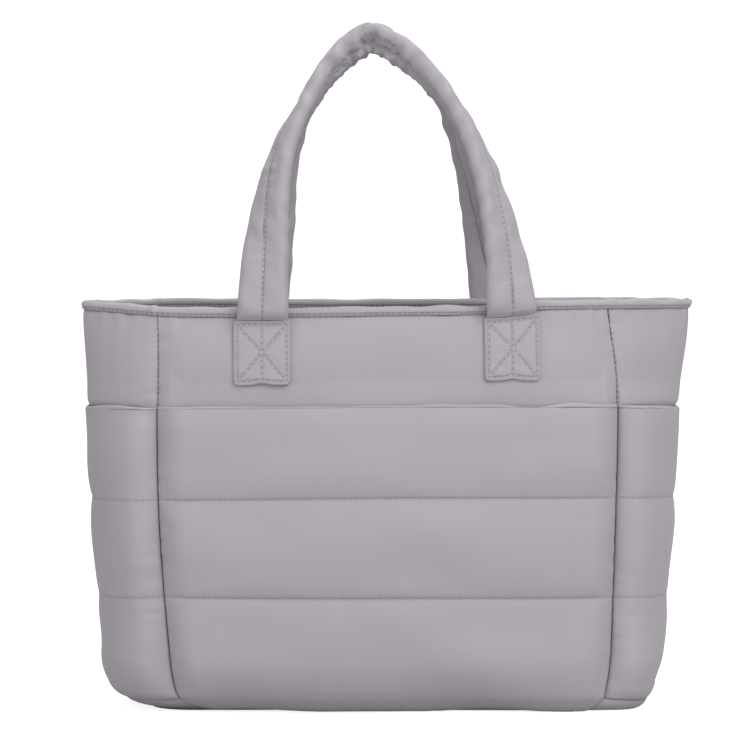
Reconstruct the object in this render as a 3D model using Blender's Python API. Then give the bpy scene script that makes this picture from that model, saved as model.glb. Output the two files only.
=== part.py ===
"""A quilted puffer tote bag, built from padded panels, slip pockets, a hem and two padded handles.

Metres, +Z up, the front faces -Y, and the origin is the middle of the footprint. The bag's walls follow one
skin: a closed loop round the bag at every height, made of the front, the right gusset, the back and the left
gusset. Each padded piece is a slab between two offsets of that skin, so neighbours meet at their seams.
"""

import math
from collections import namedtuple

import bpy
from mathutils import Vector

# Overall sizes
RIM_WIDTH = 0.4405
RIM_HEIGHT = 0.2935
BODY_DEPTH = 0.122
POCKET_HEIGHT = 0.2215
BASE_RADIUS = 0.015
BODY_LEAN = 0.003
RIM_SAG = 0.0035

# Padding, walls and the room in the slip pockets
WALL = 0.004
POCKET_WALL = 0.0022
FRONT_SLOT = 0.0072
SIDE_SLOT = 0.0088
PANEL_PUFF = 0.0055
BAND_PUFF = 0.0042
GUSSET_PUFF = 0.0022
PUFF_ROUNDNESS = 0.6
SEAM_EASE = 0.022
SLOT_EASE = 0.020
SLOT_FOOT_SHARE = 1.5
LIP_FULLNESS = 0.45

# Gaps that the solids keep
SEAM_GAP = 0.0003
LAYER_GAP = 0.0004
FLOOR_GAP = 0.0004
FOOT_GAP = 0.0006

# Base
BASE_THICKNESS = 0.005
BASE_INSET = 0.003
BASE_RISE = 0.003
GUSSET_START = math.radians(50)
PANEL_START = math.radians(8)
TURN_UP_REACH = 0.16
BASE_MIDDLE_SHARE = 0.75

# Hem round the mouth
HEM_HEIGHT = 0.0065
HEM_OUTWARD = 0.0014
HEM_INWARD = 0.0056

# Handles and the tabs that hold them
STRAP_WIDTH = 0.036
STRAP_THICKNESS = 0.012
GROOVE = 0.42
HANDLE_RISE = 0.2005
FRONT_TAB_SPACING = 0.1766
FRONT_TAB_OFFSET = -0.0040
BACK_TAB_SPACING = 0.1730
BACK_TAB_OFFSET = -0.0025
TAB_WIDTH = 0.040
TAB_HEIGHT = 0.045
TAB_THICKNESS = 0.0028
TAB_SEAT = 0.0006
TAB_BELOW_HEM = 0.0027
STRAP_CLEARANCE = 0.0035
STRAP_LEAN = 1.35
APEX_SPREAD = 0.029
BACK_HANDLE_DROP = 0.0015
BACK_HANDLE_PINCH = 0.06
PINCH_TOP = 0.85
BACK_HANDLE_SWAY = 0.0015
FOOT_SHARE = 0.06
GATHER_PITCH = 0.014
GATHER_DEPTH = 0.0022

# The strap's fold: where its gathers start and reach full depth, as the fold's sine, how far the fold lifts
# its middle, and how near to the middle its inner side may come, both as shares of the half width
GATHER_START = 0.45
GATHER_FULL = 0.85
FOLD_LIFT = 0.4
FOLD_LEAST = 0.14
# The share of the handle's rise over which its face turns level
LEVEL_SHARE = 0.25

# Channel seams, as shares of the pocket's height
CHANNEL_SEAMS = (0.394, 0.704)

# The shape of the loop: how blunt the crown of the front and back is, and a gusset's length round its curve
# against the straight way from seam to side and back
CROWN_POWER = 2.3
GUSSET_GIRTH = 2.2

# The skin's loop at each level. Level 0 is the floor, 1 the pockets' top edge and 2 the rim.
# side and seam are shares of half the rim's width; depth and crown are shares of half the body's depth.
Section = namedtuple("Section", "level side seam depth crown roundness sway")
SECTIONS = (
    Section(0.00, 0.868, 0.645, 0.760, 0.080, 2.60, 1.00),
    Section(0.04, 0.873, 0.672, 0.775, 0.095, 2.50, 1.00),
    Section(0.08, 0.873, 0.687, 0.785, 0.115, 2.40, 1.00),
    Section(0.20, 0.873, 0.704, 0.795, 0.155, 2.20, 1.00),
    Section(0.41, 0.890, 0.715, 0.790, 0.200, 2.00, 1.00),
    Section(0.70, 0.909, 0.726, 0.760, 0.230, 1.80, 1.00),
    Section(0.93, 0.922, 0.732, 0.705, 0.235, 1.65, 0.95),
    Section(1.00, 0.926, 0.733, 0.680, 0.235, 1.60, 0.90),
    Section(1.10, 0.968, 0.734, 0.660, 0.235, 1.52, 0.75),
    Section(1.50, 0.981, 0.737, 0.615, 0.235, 1.32, 0.35),
    Section(2.00, 1.000, 0.742, 0.557, 0.230, 1.12, 0.00),
)

# How far the front and back rims hang, as shares of RIM_SAG, across the half width from -1 to 1.
RimDrop = namedtuple("RimDrop", "across front back")
RIM_DROPS = (
    RimDrop(-1.00, 0.00, 0.00),
    RimDrop(-0.65, 1.00, 0.05),
    RimDrop(-0.40, 1.00, 0.30),
    RimDrop(0.00, 0.75, 0.50),
    RimDrop(0.32, 0.60, 0.45),
    RimDrop(0.50, -0.30, 0.20),
    RimDrop(0.75, -0.35, 0.00),
    RimDrop(1.00, 0.00, 0.00),
)

# The hem's cross-section: out is a share of its outward or inward reach, up a share of its height.
HemPoint = namedtuple("HemPoint", "out up")
HEM_PROFILE = (
    HemPoint(-0.90, 0.00),
    HemPoint(0.55, 0.00),
    HemPoint(1.00, 0.35),
    HemPoint(0.85, 0.80),
    HemPoint(-0.05, 1.00),
    HemPoint(-0.70, 1.00),
    HemPoint(-1.00, 0.75),
    HemPoint(-1.00, 0.25),
)

# The handle from its left tab over the apex to its right tab. rise is a share of the handle's rise, across of
# half the tabs' spacing, stand of the strap's stand-off from the wall; turn and fold are degrees, and thick
# and wide are shares of the strap's own sizes.
Station = namedtuple("Station", "rise across stand turn fold thick wide")
HANDLE_STATIONS = (
    Station(0.000, -1.000, 0.55, 0, 0, 0.50, 1.00),
    Station(0.022, -1.000, 0.90, 2, 0, 0.74, 1.00),
    Station(0.060, -0.996, 1.00, 5, 0, 0.95, 1.00),
    Station(0.200, -0.974, 1.00, 20, 3, 1.00, 1.00),
    Station(0.416, -0.923, 1.00, 52, 4, 1.00, 1.00),
    Station(0.600, -0.827, 1.00, 74, 5, 0.98, 1.00),
    Station(0.741, -0.672, 1.00, 86, 7, 0.96, 1.00),
    Station(0.888, -0.467, 1.00, 89, 22, 1.00, 1.00),
    Station(0.962, -0.290, 1.00, 90, 36, 1.04, 1.00),
    Station(1.000, -0.100, 1.00, 90, 46, 1.08, 1.02),
    Station(0.965, 0.135, 1.00, 90, 38, 1.05, 1.00),
    Station(0.888, 0.324, 1.00, 88, 25, 1.03, 1.00),
    Station(0.741, 0.562, 1.00, 82, 12, 1.00, 1.00),
    Station(0.596, 0.720, 1.00, 72, 8, 1.00, 1.00),
    Station(0.416, 0.854, 1.00, 57, 5, 1.00, 1.00),
    Station(0.200, 0.951, 1.00, 32, 3, 1.00, 1.00),
    Station(0.060, 0.990, 1.00, 8, 0, 0.95, 1.00),
    Station(0.022, 1.000, 0.90, 3, 0, 0.74, 1.00),
    Station(0.000, 1.000, 0.55, 0, 0, 0.50, 1.00),
)
STRAP_ACROSS = (-1.0, -0.8, -0.5, -0.2, 0.0, 0.2, 0.5, 0.8, 1.0)

# Panels of the skin's loop, in order, seen from above anticlockwise
FRONT, RIGHT, BACK, LEFT = range(4)

# Mesh steps
PANEL_COLUMNS = 12
GUSSET_COLUMNS = 8
BASE_ROWS = 3
CHANNEL_ROWS = (4, 4, 5, 5)
BAND_CROWDING = 1.4
SEAM_CROWDING = 0.45
SAME_PANEL = 0.999999
TAB_COLUMNS = 4
TAB_ROWS = 5
LINE_STEPS = 12

# How far to each side a direction of the loop, of a wall's rise and of a handle's line is read
LOOP_STEP = 0.02
RISE_STEP = 0.002
LINE_STEP = 0.15


def steady_curve(knots, values, at):
    """A smooth curve through the knots that never overshoots them."""
    if at <= knots[0]:
        return values[0]
    if at >= knots[-1]:
        return values[-1]
    k = max(i for i in range(len(knots) - 1) if knots[i] <= at)
    slopes = [(values[i + 1] - values[i]) / (knots[i + 1] - knots[i]) for i in range(len(knots) - 1)]

    def knot_slope(i):
        if i == 0 or i == len(slopes):
            return slopes[min(i, len(slopes) - 1)]
        a, b = slopes[i - 1], slopes[i]
        return 0.0 if a * b <= 0 else 2 * a * b / (a + b)

    span = knots[k + 1] - knots[k]
    t = (at - knots[k]) / span
    rise = t * t * (3 - 2 * t)
    start = t * (1 - t) ** 2 * span * knot_slope(k)
    end = t * t * (t - 1) * span * knot_slope(k + 1)
    return values[k] + rise * (values[k + 1] - values[k]) + start + end


def column(rows, name, knot, at):
    """One named column of a table, read smoothly at a place between its rows."""
    knots = [getattr(row, knot) for row in rows]
    return steady_curve(knots, [getattr(row, name) for row in rows], at)


def eased(distance, reach):
    """0 at a seam, rising smoothly to 1 at the given reach from it."""
    return 1 - (1 - min(1.0, max(0.0, distance / reach))) ** 2


def level_of(z):
    """The section table's level at a height."""
    if z <= POCKET_HEIGHT:
        return z / POCKET_HEIGHT
    return 1 + (z - POCKET_HEIGHT) / (RIM_HEIGHT - POCKET_HEIGHT)


def base_inset(z):
    """How far the round at the foot of the walls pulls them in."""
    above = z - BASE_RISE
    if above >= BASE_RADIUS:
        return 0.0
    return BASE_RADIUS - math.sqrt(max(0.0, BASE_RADIUS**2 - (BASE_RADIUS - above) ** 2))


def front_shift():
    """The skin's move towards the back that centres the bag's depth on the origin."""
    return (FRONT_SLOT + POCKET_WALL) / 2


def loop_sizes(z):
    """The skin's sizes at a height: side, seam, depth, crown, roundness and the loop's centre."""
    at = level_of(z)
    inset = base_inset(z)
    half_width = RIM_WIDTH / 2
    half_depth = BODY_DEPTH / 2
    side = column(SECTIONS, "side", "level", at) * half_width - inset
    seam = column(SECTIONS, "seam", "level", at) * half_width - inset
    depth = column(SECTIONS, "depth", "level", at) * half_depth - inset
    crown = column(SECTIONS, "crown", "level", at) * half_depth
    roundness = column(SECTIONS, "roundness", "level", at)
    sway = column(SECTIONS, "sway", "level", at)
    return side, seam, depth, crown, roundness, Vector((-sway * BODY_LEAN, front_shift(), 0))


def skin_point(place, z):
    """A point of the skin. place runs from 0 to 4 round the loop, one unit for each panel."""
    place %= 4
    panel = int(place)
    share = place - panel
    side, seam, depth, crown, roundness, centre = loop_sizes(z)
    facing = 1 if panel in (FRONT, RIGHT) else -1
    if panel in (FRONT, BACK):
        across = 2 * share - 1
        bulge = crown * (1 - abs(across) ** CROWN_POWER)
        flat = Vector((across * seam, -(depth + bulge), z))
    else:
        turn = math.pi * share
        power = 2 / roundness
        out = seam + (side - seam) * math.sin(turn) ** power
        along = math.copysign(abs(math.cos(turn)) ** power, math.cos(turn))
        flat = Vector((out, -depth * along, z))
    return Vector((facing * flat.x, facing * flat.y, z)) + centre


def skin_directions(place, z):
    """(along, outward): the loop's direction and the skin's outward normal."""
    along = (skin_point(place + LOOP_STEP, z) - skin_point(place - LOOP_STEP, z)).normalized()
    level_out = Vector((along.y, -along.x, 0))
    above = z - BASE_RISE
    if above < BASE_RADIUS:
        rolled = math.acos(max(-1.0, min(1.0, 1 - above / BASE_RADIUS)))
        return along, (level_out * math.sin(rolled) - Vector((0, 0, math.cos(rolled)))).normalized()
    below = max(z - RISE_STEP, BASE_RISE + BASE_RADIUS)
    up = skin_point(place, z + RISE_STEP) - skin_point(place, below)
    return along, along.cross(up).normalized()


def seam_distance(place, z):
    """How far a place is from the nearest vertical seam, along the loop."""
    panel = int(place % 4)
    share = place % 4 - panel
    side, seam, depth = loop_sizes(z)[:3]
    length = 2 * seam if panel in (FRONT, BACK) else GUSSET_GIRTH * math.hypot(side - seam, depth)
    return length * min(share, 1 - share)


def wall_top(place):
    """The height where the walls end and the hem begins."""
    across = max(-1.0, min(1.0, skin_point(place, RIM_HEIGHT).x / (RIM_WIDTH / 2)))
    side = "front" if int(place % 4) == FRONT else "back" if int(place % 4) == BACK else None
    if side is None:
        front = column(RIM_DROPS, "front", "across", across)
        back = column(RIM_DROPS, "back", "across", across)
        share = place % 1 if int(place % 4) == RIGHT else 1 - place % 1
        drop = front + (back - front) * share
    else:
        drop = column(RIM_DROPS, side, "across", across)
    return RIM_HEIGHT - drop * RIM_SAG - HEM_HEIGHT - SEAM_GAP


def channel_edges(place):
    """The heights of the channel seams, from the floor to the top of the walls."""
    seams = [share * POCKET_HEIGHT for share in CHANNEL_SEAMS]
    return [BASE_RISE, *seams, POCKET_HEIGHT, wall_top(place)]


def puff(place, z, end_fullness=0.0):
    """How far the padding stands out at a place, as a share of the full puff."""
    edges = channel_edges(place)
    k = next((i for i in range(len(edges) - 1) if z <= edges[i + 1]), len(edges) - 2)
    share = min(1.0, max(0.0, (z - edges[k]) / (edges[k + 1] - edges[k])))
    round_over = (4 * share * (1 - share)) ** PUFF_ROUNDNESS
    if share > 0.5 and k == len(edges) - 3:
        round_over = end_fullness + (1 - end_fullness) * round_over
    return round_over * eased(seam_distance(place, z), SEAM_EASE)


def full_puff(place):
    """The full puff of the panel that a place is on, below the pockets' top edge."""
    return PANEL_PUFF if int(place % 4) in (FRONT, BACK) else GUSSET_PUFF


def slot_room(place, z):
    """The room between a slip pocket and the panel behind it."""
    room = FRONT_SLOT if int(place % 4) in (FRONT, BACK) else SIDE_SLOT
    beside = eased(seam_distance(place, z), SLOT_EASE)
    above = eased(z - BASE_RISE - BASE_RADIUS / 2, SLOT_FOOT_SHARE * SLOT_EASE)
    return LAYER_GAP + (room - LAYER_GAP) * beside * above


def wall_outer(place, z):
    """The outward offset of a body panel's outer face."""
    if z > POCKET_HEIGHT:
        room = BAND_PUFF if int(place % 4) in (FRONT, BACK) else GUSSET_PUFF
        return room * puff(place, z)
    if int(place % 4) == BACK:
        return PANEL_PUFF * puff(place, z)
    return 0.0


def pocket_outer(place, z):
    """The outward offset of a pocket's outer face."""
    return slot_room(place, z) + POCKET_WALL + full_puff(place) * puff(place, z, LIP_FULLNESS)


def base_start(place):
    """The roll angle at which the walls begin, which is higher at the gussets, where the base turns up."""
    if int(place % 4) in (FRONT, BACK):
        return PANEL_START
    into = eased(min(place % 1, 1 - place % 1), TURN_UP_REACH)
    return PANEL_START + (GUSSET_START - PANEL_START) * into


def row_height(row, place):
    """The height of a mesh row at a place. Rows count up from the base through the channels."""
    if row <= BASE_ROWS:
        start = base_start(place)
        rolled = start + (math.pi / 2 - start) * row / BASE_ROWS
        return BASE_RISE + BASE_RADIUS * (1 - math.cos(rolled))
    left = row - BASE_ROWS
    edges = channel_edges(place)
    edges[0] = BASE_RISE + BASE_RADIUS
    for k, count in enumerate(CHANNEL_ROWS):
        if left <= count:
            share = (left / count) ** (BAND_CROWDING if k == len(CHANNEL_ROWS) - 1 else 1)
            return edges[k] + (edges[k + 1] - edges[k]) * share
        left -= count
    return edges[-1]


ALL_ROWS = BASE_ROWS + sum(CHANNEL_ROWS)
POCKET_ROWS = ALL_ROWS - CHANNEL_ROWS[-1]


def panel_places(panel):
    """The places of a panel's mesh columns, closer together near its seams."""
    count = PANEL_COLUMNS if panel in (FRONT, BACK) else GUSSET_COLUMNS
    crowding = SEAM_CROWDING if panel in (FRONT, BACK) else 0.0
    shares = []
    for i in range(count + 1):
        even = i / count
        crowded = 0.5 - 0.5 * math.cos(math.pi * even)
        shares.append(even + (crowded - even) * crowding)
    return [panel + min(SAME_PANEL, share) for share in shares]


def offset_point(place, z, offset, nudge=0.0):
    """A point at an outward offset from the skin, nudged along the loop, and kept off the floor."""
    along, outward = skin_directions(place, z)
    point = skin_point(place, z) + outward * offset + along * nudge
    point.z = max(point.z, FLOOR_GAP)
    return point


def panel_grid(panel, rows, offset):
    """Rows of points over a panel at an offset of the skin, with half a seam's gap left at each side."""
    places = panel_places(panel)
    nudges = [SEAM_GAP / 2] + [0.0] * (len(places) - 2) + [-SEAM_GAP / 2]
    grid = []
    for row in range(rows + 1):
        line = []
        for place, nudge in zip(places, nudges):
            z = row_height(row, place)
            point = offset_point(place, z, offset(place, z), nudge)
            if row == rows:
                point.z = z
            line.append(point)
        grid.append(line)
    return grid


def strip(lower, upper, wrap=False):
    """Triangles between two rows of vertex numbers, facing out when seen with the rows running right."""
    count = len(lower)
    faces = []
    for i in range(count if wrap else count - 1):
        j = (i + 1) % count
        faces.append((lower[i], lower[j], upper[j]))
        faces.append((lower[i], upper[j], upper[i]))
    return faces


def fabric(name, colour, roughness):
    """A plain cloth material."""
    material = bpy.data.materials.new(name)
    material.use_nodes = True
    shader = material.node_tree.nodes["Principled BSDF"]
    shader.inputs["Base Color"].default_value = (*colour, 1)
    shader.inputs["Roughness"].default_value = roughness
    shader.inputs["Metallic"].default_value = 0.0
    return material


def add_solid(name, points, faces, material):
    """A mesh object from points and faces."""
    mesh = bpy.data.meshes.new(name)
    mesh.from_pydata([tuple(p) for p in points], [], faces)
    mesh.update()
    mesh.shade_smooth()
    mesh.set_sharp_from_angle(angle=math.radians(40))
    mesh.materials.append(material)
    obj = bpy.data.objects.new(name, mesh)
    bpy.context.scene.collection.objects.link(obj)
    return obj


def add_slab(name, outer, inner, material):
    """A closed slab between two grids of points with the same rows and columns."""
    rows, columns = len(outer), len(outer[0])
    points = [p for line in outer for p in line] + [p for line in inner for p in line]
    out = [[r * columns + c for c in range(columns)] for r in range(rows)]
    inn = [[rows * columns + n for n in line] for line in out]
    faces = []
    for r in range(rows - 1):
        faces += strip(out[r], out[r + 1])
        faces += [face[::-1] for face in strip(inn[r], inn[r + 1])]
    faces += [face[::-1] for face in strip(out[0], inn[0])]
    faces += strip(out[-1], inn[-1])
    faces += strip([line[0] for line in out], [line[0] for line in inn])
    faces += [face[::-1] for face in strip([line[-1] for line in out], [line[-1] for line in inn])]
    return add_solid(name, points, faces, material)


def add_panel(name, panel, material):
    """A padded body panel from the base seam to the hem."""
    outer = panel_grid(panel, ALL_ROWS, wall_outer)
    inner = panel_grid(panel, ALL_ROWS, lambda place, z: -WALL)
    return add_slab(name, outer, inner, material)


def add_pocket(name, panel, material):
    """A quilted slip pocket over a panel, open along its top edge."""
    outer = panel_grid(panel, POCKET_ROWS, pocket_outer)
    inner = panel_grid(panel, POCKET_ROWS, slot_room)
    return add_slab(name, outer, inner, material)


def loop_places():
    """The places of every mesh column round the loop, each seam once."""
    return [place for panel in (FRONT, RIGHT, BACK, LEFT) for place in panel_places(panel)[:-1]]


def inset_from_middle(point, inset, z):
    """The point pulled in towards the long middle line of the base, and set at a height."""
    middle = Vector((point.x * BASE_MIDDLE_SHARE, front_shift(), 0))
    flat = Vector((point.x, point.y, 0))
    pulled = flat + (middle - flat).normalized() * inset
    return Vector((pulled.x, pulled.y, z))


def add_base(material):
    """The base: flat on the floor, and turned up at its rim to meet the walls."""
    places = loop_places()
    flat_out, rim_out, rim_mid, rim_in, flat_in = [], [], [], [], []
    for place in places:
        z = row_height(0, place)
        along, outward = skin_directions(place, z)
        edge = skin_point(place, z) + along.cross(outward).normalized() * SEAM_GAP
        cover = LAYER_GAP if int(place % 4) == BACK else LAYER_GAP + POCKET_WALL
        outer = edge + outward * cover
        outer.z = max(outer.z, FLOOR_GAP)
        flat = skin_point(place, BASE_RISE)
        inner = edge - outward * WALL
        flat_out.append(inset_from_middle(flat, BASE_INSET, 0))
        rim_out.append(outer)
        rim_mid.append(edge)
        rim_in.append(inner)
        flat_in.append(inset_from_middle(inner, BASE_INSET, BASE_THICKNESS))
    count = len(places)
    middle = Vector((0, front_shift(), 0))
    loops = (flat_out, rim_out, rim_mid, rim_in, flat_in)
    points = [point for loop in loops for point in loop]
    rings = [[k * count + i for i in range(count)] for k in range(len(loops))]
    faces = []
    for lower, upper in zip(rings, rings[1:]):
        faces += strip(lower, upper, wrap=True)
    for ring, height, facing_up in ((rings[0], 0, False), (rings[-1], BASE_THICKNESS, True)):
        points.append(middle + Vector((0, 0, height)))
        for i in range(count):
            j = (i + 1) % count
            ends = (ring[i], ring[j]) if facing_up else (ring[j], ring[i])
            faces.append((*ends, len(points) - 1))
    return add_solid("base_panel", points, faces, material)


def add_hem(material):
    """The turned hem round the whole mouth."""
    places = loop_places()
    points = []
    for place in places:
        foot = wall_top(place) + SEAM_GAP
        along = skin_directions(place, RIM_HEIGHT)[0]
        outward = Vector((along.y, -along.x, 0))
        for spot in HEM_PROFILE:
            reach = HEM_OUTWARD if spot.out > 0 else HEM_INWARD
            z = foot + spot.up * HEM_HEIGHT
            point = skin_point(place, min(z, RIM_HEIGHT)) + outward * spot.out * reach
            point.z = z
            points.append(point)
    size = len(HEM_PROFILE)
    rings = [[i * size + k for i in range(len(places))] for k in range(size)]
    faces = []
    for k in range(size):
        faces += strip(rings[k], rings[(k + 1) % size], wrap=True)
    return add_solid("rim_hem", points, faces, material)


def wall_place(side, x, z):
    """The place on the front or back wall that lies at a given x."""
    seam, centre = loop_sizes(z)[1], loop_sizes(z)[5]
    across = max(-1.0, min(1.0, (x - centre.x) / seam))
    return side + (1 + across) / 2 if side == FRONT else side + (1 - across) / 2


def tab_x(side, hand):
    """The x of a tab's middle. hand is -1 for the left tab and 1 for the right one."""
    if side == FRONT:
        return FRONT_TAB_OFFSET + hand * FRONT_TAB_SPACING / 2
    return BACK_TAB_OFFSET + hand * BACK_TAB_SPACING / 2


def tab_top(side, x):
    """The height of a tab's top edge, just under the hem."""
    return wall_top(wall_place(side, x, RIM_HEIGHT)) - TAB_BELOW_HEM


def strap_foot(side, x):
    """The height where the padded strap begins, just clear of the tab's top edge."""
    top = tab_top(side, x)
    place = wall_place(side, x, top)
    return offset_point(place, top, wall_outer(place, top) + TAB_SEAT + TAB_THICKNESS).z + FOOT_GAP


def add_tab(name, side, x, material):
    """A flat strap end, sewn on the wall under the hem."""
    foot = tab_top(side, x) - TAB_HEIGHT
    outer, inner = [], []
    for r in range(TAB_ROWS + 1):
        outer_line, inner_line = [], []
        for c in range(TAB_COLUMNS + 1):
            at = x + TAB_WIDTH * (c / TAB_COLUMNS - 0.5) * (1 if side == FRONT else -1)
            z = foot + (tab_top(side, at) - foot) * r / TAB_ROWS
            place = wall_place(side, at, z)
            seat = wall_outer(place, z) + TAB_SEAT
            inner_line.append(offset_point(place, z, seat))
            outer_line.append(offset_point(place, z, seat + TAB_THICKNESS))
        outer.append(outer_line)
        inner.append(inner_line)
    return add_slab(name, outer, inner, material)


def station_at(progress):
    """The handle's table read smoothly at a place between its rows, counted from 0."""
    knots = list(range(len(HANDLE_STATIONS)))
    read = {
        name: steady_curve(knots, [getattr(row, name) for row in HANDLE_STATIONS], progress)
        for name in Station._fields
    }
    return Station(**read)


def handle_centre(side, station):
    """The middle of the strap at a station, and the direction that its face looks in before it turns."""
    facing = -1 if side == FRONT else 1
    rise = HANDLE_RISE if side == FRONT else HANDLE_RISE - BACK_HANDLE_DROP
    pinch = 0.0 if side == FRONT else BACK_HANDLE_PINCH * math.sin(math.pi * min(1.0, station.rise / PINCH_TOP))
    sway = 0.0 if side == FRONT else BACK_HANDLE_SWAY * station.rise
    left_x, right_x = tab_x(side, -1), tab_x(side, 1)
    x = (left_x + right_x) / 2 + station.across * (1 - pinch) * (right_x - left_x) / 2 + sway
    left_z, right_z = strap_foot(side, left_x), strap_foot(side, right_x)
    foot_z = left_z + (right_z - left_z) * (1 + station.across) / 2
    foot = wall_place(side, right_x if station.across > 0 else left_x, foot_z)
    along = skin_directions(foot, foot_z)[0]
    face = Vector((along.y, -along.x, 0))
    stand = HEM_OUTWARD + STRAP_CLEARANCE + STRAP_THICKNESS / 2
    foot_y = skin_point(foot, foot_z).y + face.y * stand * station.stand
    apex_y = facing * APEX_SPREAD / 2
    y = foot_y + (apex_y - foot_y) * station.rise**STRAP_LEAN
    level = Vector((0, facing, 0))
    face = (face + (level - face) * min(1.0, station.rise / LEVEL_SHARE)).normalized()
    return Vector((x, y, foot_z + rise * station.rise)), face


def strap_section(centre, tangent, face, station, gather):
    """The ring of points of the padded strap: two lobes on each side of a stitched groove."""
    outside = Vector((-tangent.z, 0, tangent.x)).normalized()
    face = (face - tangent * face.dot(tangent)).normalized()
    radial = (outside - tangent * outside.dot(tangent)).normalized()
    turn, fold = math.radians(station.turn), math.radians(station.fold)
    normal = (face * math.cos(turn) + radial * math.sin(turn)).normalized()
    across = tangent.cross(normal).normalized()
    half = station.wide * STRAP_WIDTH / 2
    thick = station.thick * STRAP_THICKNESS / 2
    lift = FOLD_LIFT * half * math.sin(fold)
    outer, inner = [], []
    for s in STRAP_ACROSS:
        hand = math.copysign(1.0, s) if s else 0.0
        lobe = math.sqrt(max(0.0, 1 - (2 * abs(s) - 1) ** 2))
        full = thick * max(lobe, GROOVE if abs(s) < 0.1 else 0.0)
        b = s * half * math.cos(fold)
        n = lift - abs(s) * half * math.sin(fold)
        db, dn = hand * math.sin(fold) * full, math.cos(fold) * full if hand else full
        outer.append(centre + across * (b + db) + normal * (n + dn))
        if abs(s) == 1.0:
            continue
        least = abs(s) * half * FOLD_LEAST
        inside = b - db * (1 + gather)
        inside = hand * max(hand * inside, least)
        inner.append(centre + across * inside + normal * (n - dn * (1 + gather) - gather * thick * 0.5))
    return outer + inner[::-1]


def add_handle(name, side, material):
    """A padded handle from tab to tab, gathered on the inside of its bend."""
    fine = LINE_STEPS * (len(HANDLE_STATIONS) - 1)
    progress = [(len(HANDLE_STATIONS) - 1) * i / fine for i in range(fine + 1)]
    line = [handle_centre(side, station_at(p))[0] for p in progress]
    walked = [0.0]
    for a, b in zip(line, line[1:]):
        walked.append(walked[-1] + (b - a).length)
    steps = 2 * round(walked[-1] / GATHER_PITCH)
    rings, count = [], 0
    points = []
    for i in range(steps + 1):
        p = steady_curve(walked, progress, walked[-1] * i / steps)
        station = station_at(p)
        centre, face = handle_centre(side, station)
        before = handle_centre(side, station_at(max(0.0, p - LINE_STEP)))[0]
        after = handle_centre(side, station_at(min(progress[-1], p + LINE_STEP)))[0]
        tangent = (after - before).normalized()
        folded = math.sin(math.radians(station.fold))
        bend = max(0.0, folded - GATHER_START) / (GATHER_FULL - GATHER_START)
        gather = min(1.0, bend) * (1 if i % 2 else -1) * GATHER_DEPTH / STRAP_THICKNESS
        ring = strap_section(centre, tangent, face, station, gather)
        shear = max(0.0, 1 - station.rise / FOOT_SHARE)
        for point in ring:
            level = centre.z + strap_foot(side, point.x) - strap_foot(side, centre.x)
            point.z += shear * (level - point.z)
        rings.append([count + k for k in range(len(ring))])
        count += len(ring)
        points += ring
    faces = []
    for first, second in zip(rings, rings[1:]):
        faces += strip(first, second, wrap=True)
    for ring, flip in ((rings[0], True), (rings[-1], False)):
        for k in range(1, len(ring) - 1):
            face_of = (ring[0], ring[k], ring[k + 1])
            faces.append(face_of[::-1] if flip else face_of)
    return add_solid(name, points, faces, material)


def clear_scene():
    """Remove whatever the scene holds."""
    for obj in list(bpy.data.objects):
        bpy.data.objects.remove(obj, do_unlink=True)


def main():
    """Build every piece of the bag."""
    clear_scene()
    shell = fabric("shell_cloth", (0.398, 0.372, 0.402), 0.62)
    strap = fabric("strap_cloth", (0.405, 0.378, 0.408), 0.60)
    base = fabric("base_cloth", (0.360, 0.335, 0.365), 0.65)
    add_panel("front_panel", FRONT, shell)
    add_panel("gusset_right", RIGHT, shell)
    add_panel("back_panel", BACK, shell)
    add_panel("gusset_left", LEFT, shell)
    add_base(base)
    add_pocket("front_pocket", FRONT, shell)
    add_pocket("side_pocket_right", RIGHT, shell)
    add_pocket("side_pocket_left", LEFT, shell)
    add_hem(shell)
    for side, side_name in ((FRONT, "front"), (BACK, "back")):
        add_handle(f"handle_{side_name}", side, strap)
        for hand, hand_name in ((-1, "left"), (1, "right")):
            add_tab(f"tab_{side_name}_{hand_name}", side, tab_x(side, hand), strap)


main()
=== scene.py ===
"""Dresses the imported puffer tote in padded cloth, stitching and soft studio light.

Metres, +Z up, the front faces -Y. The CAD frame is loaded first and stays as it is. Each soft CAD
solid is replaced by a finer piece that follows the same skin: a closed loop round the bag at every
height, made of the front, the right gusset, the back and the left gusset.
"""

import logging
import math
from dataclasses import dataclass
from enum import Enum, IntEnum
from typing import Callable, NamedTuple, Sequence

import bmesh
import bpy
import numpy as np
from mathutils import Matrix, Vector


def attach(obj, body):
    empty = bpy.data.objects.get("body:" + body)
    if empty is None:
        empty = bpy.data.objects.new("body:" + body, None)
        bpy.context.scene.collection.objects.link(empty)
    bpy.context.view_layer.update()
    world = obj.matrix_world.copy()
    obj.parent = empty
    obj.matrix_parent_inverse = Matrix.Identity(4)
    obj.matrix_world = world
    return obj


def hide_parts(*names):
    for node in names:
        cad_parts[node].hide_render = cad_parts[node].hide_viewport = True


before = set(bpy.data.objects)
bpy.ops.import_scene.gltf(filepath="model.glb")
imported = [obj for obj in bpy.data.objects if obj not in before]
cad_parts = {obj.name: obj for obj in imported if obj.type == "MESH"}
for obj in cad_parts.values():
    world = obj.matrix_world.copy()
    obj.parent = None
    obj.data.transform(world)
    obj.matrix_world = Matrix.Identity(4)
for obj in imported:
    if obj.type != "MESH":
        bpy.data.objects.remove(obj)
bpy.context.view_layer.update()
log = logging.getLogger("puffer_tote")

Array = np.ndarray
Offset = Callable[[Array, Array], Array]
TURN = 2 * math.pi
FLOOR_GAP = 0.0004
SAME_PANEL = 0.999999
WELD = 0.000002
CLOTH_MAP = "cloth"
SEWN = "sewn"
RUN = "run"


class Panel(IntEnum):
    """The four panels of the skin's loop, anticlockwise seen from above."""

    FRONT = 0
    RIGHT = 1
    BACK = 2
    LEFT = 3


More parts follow.
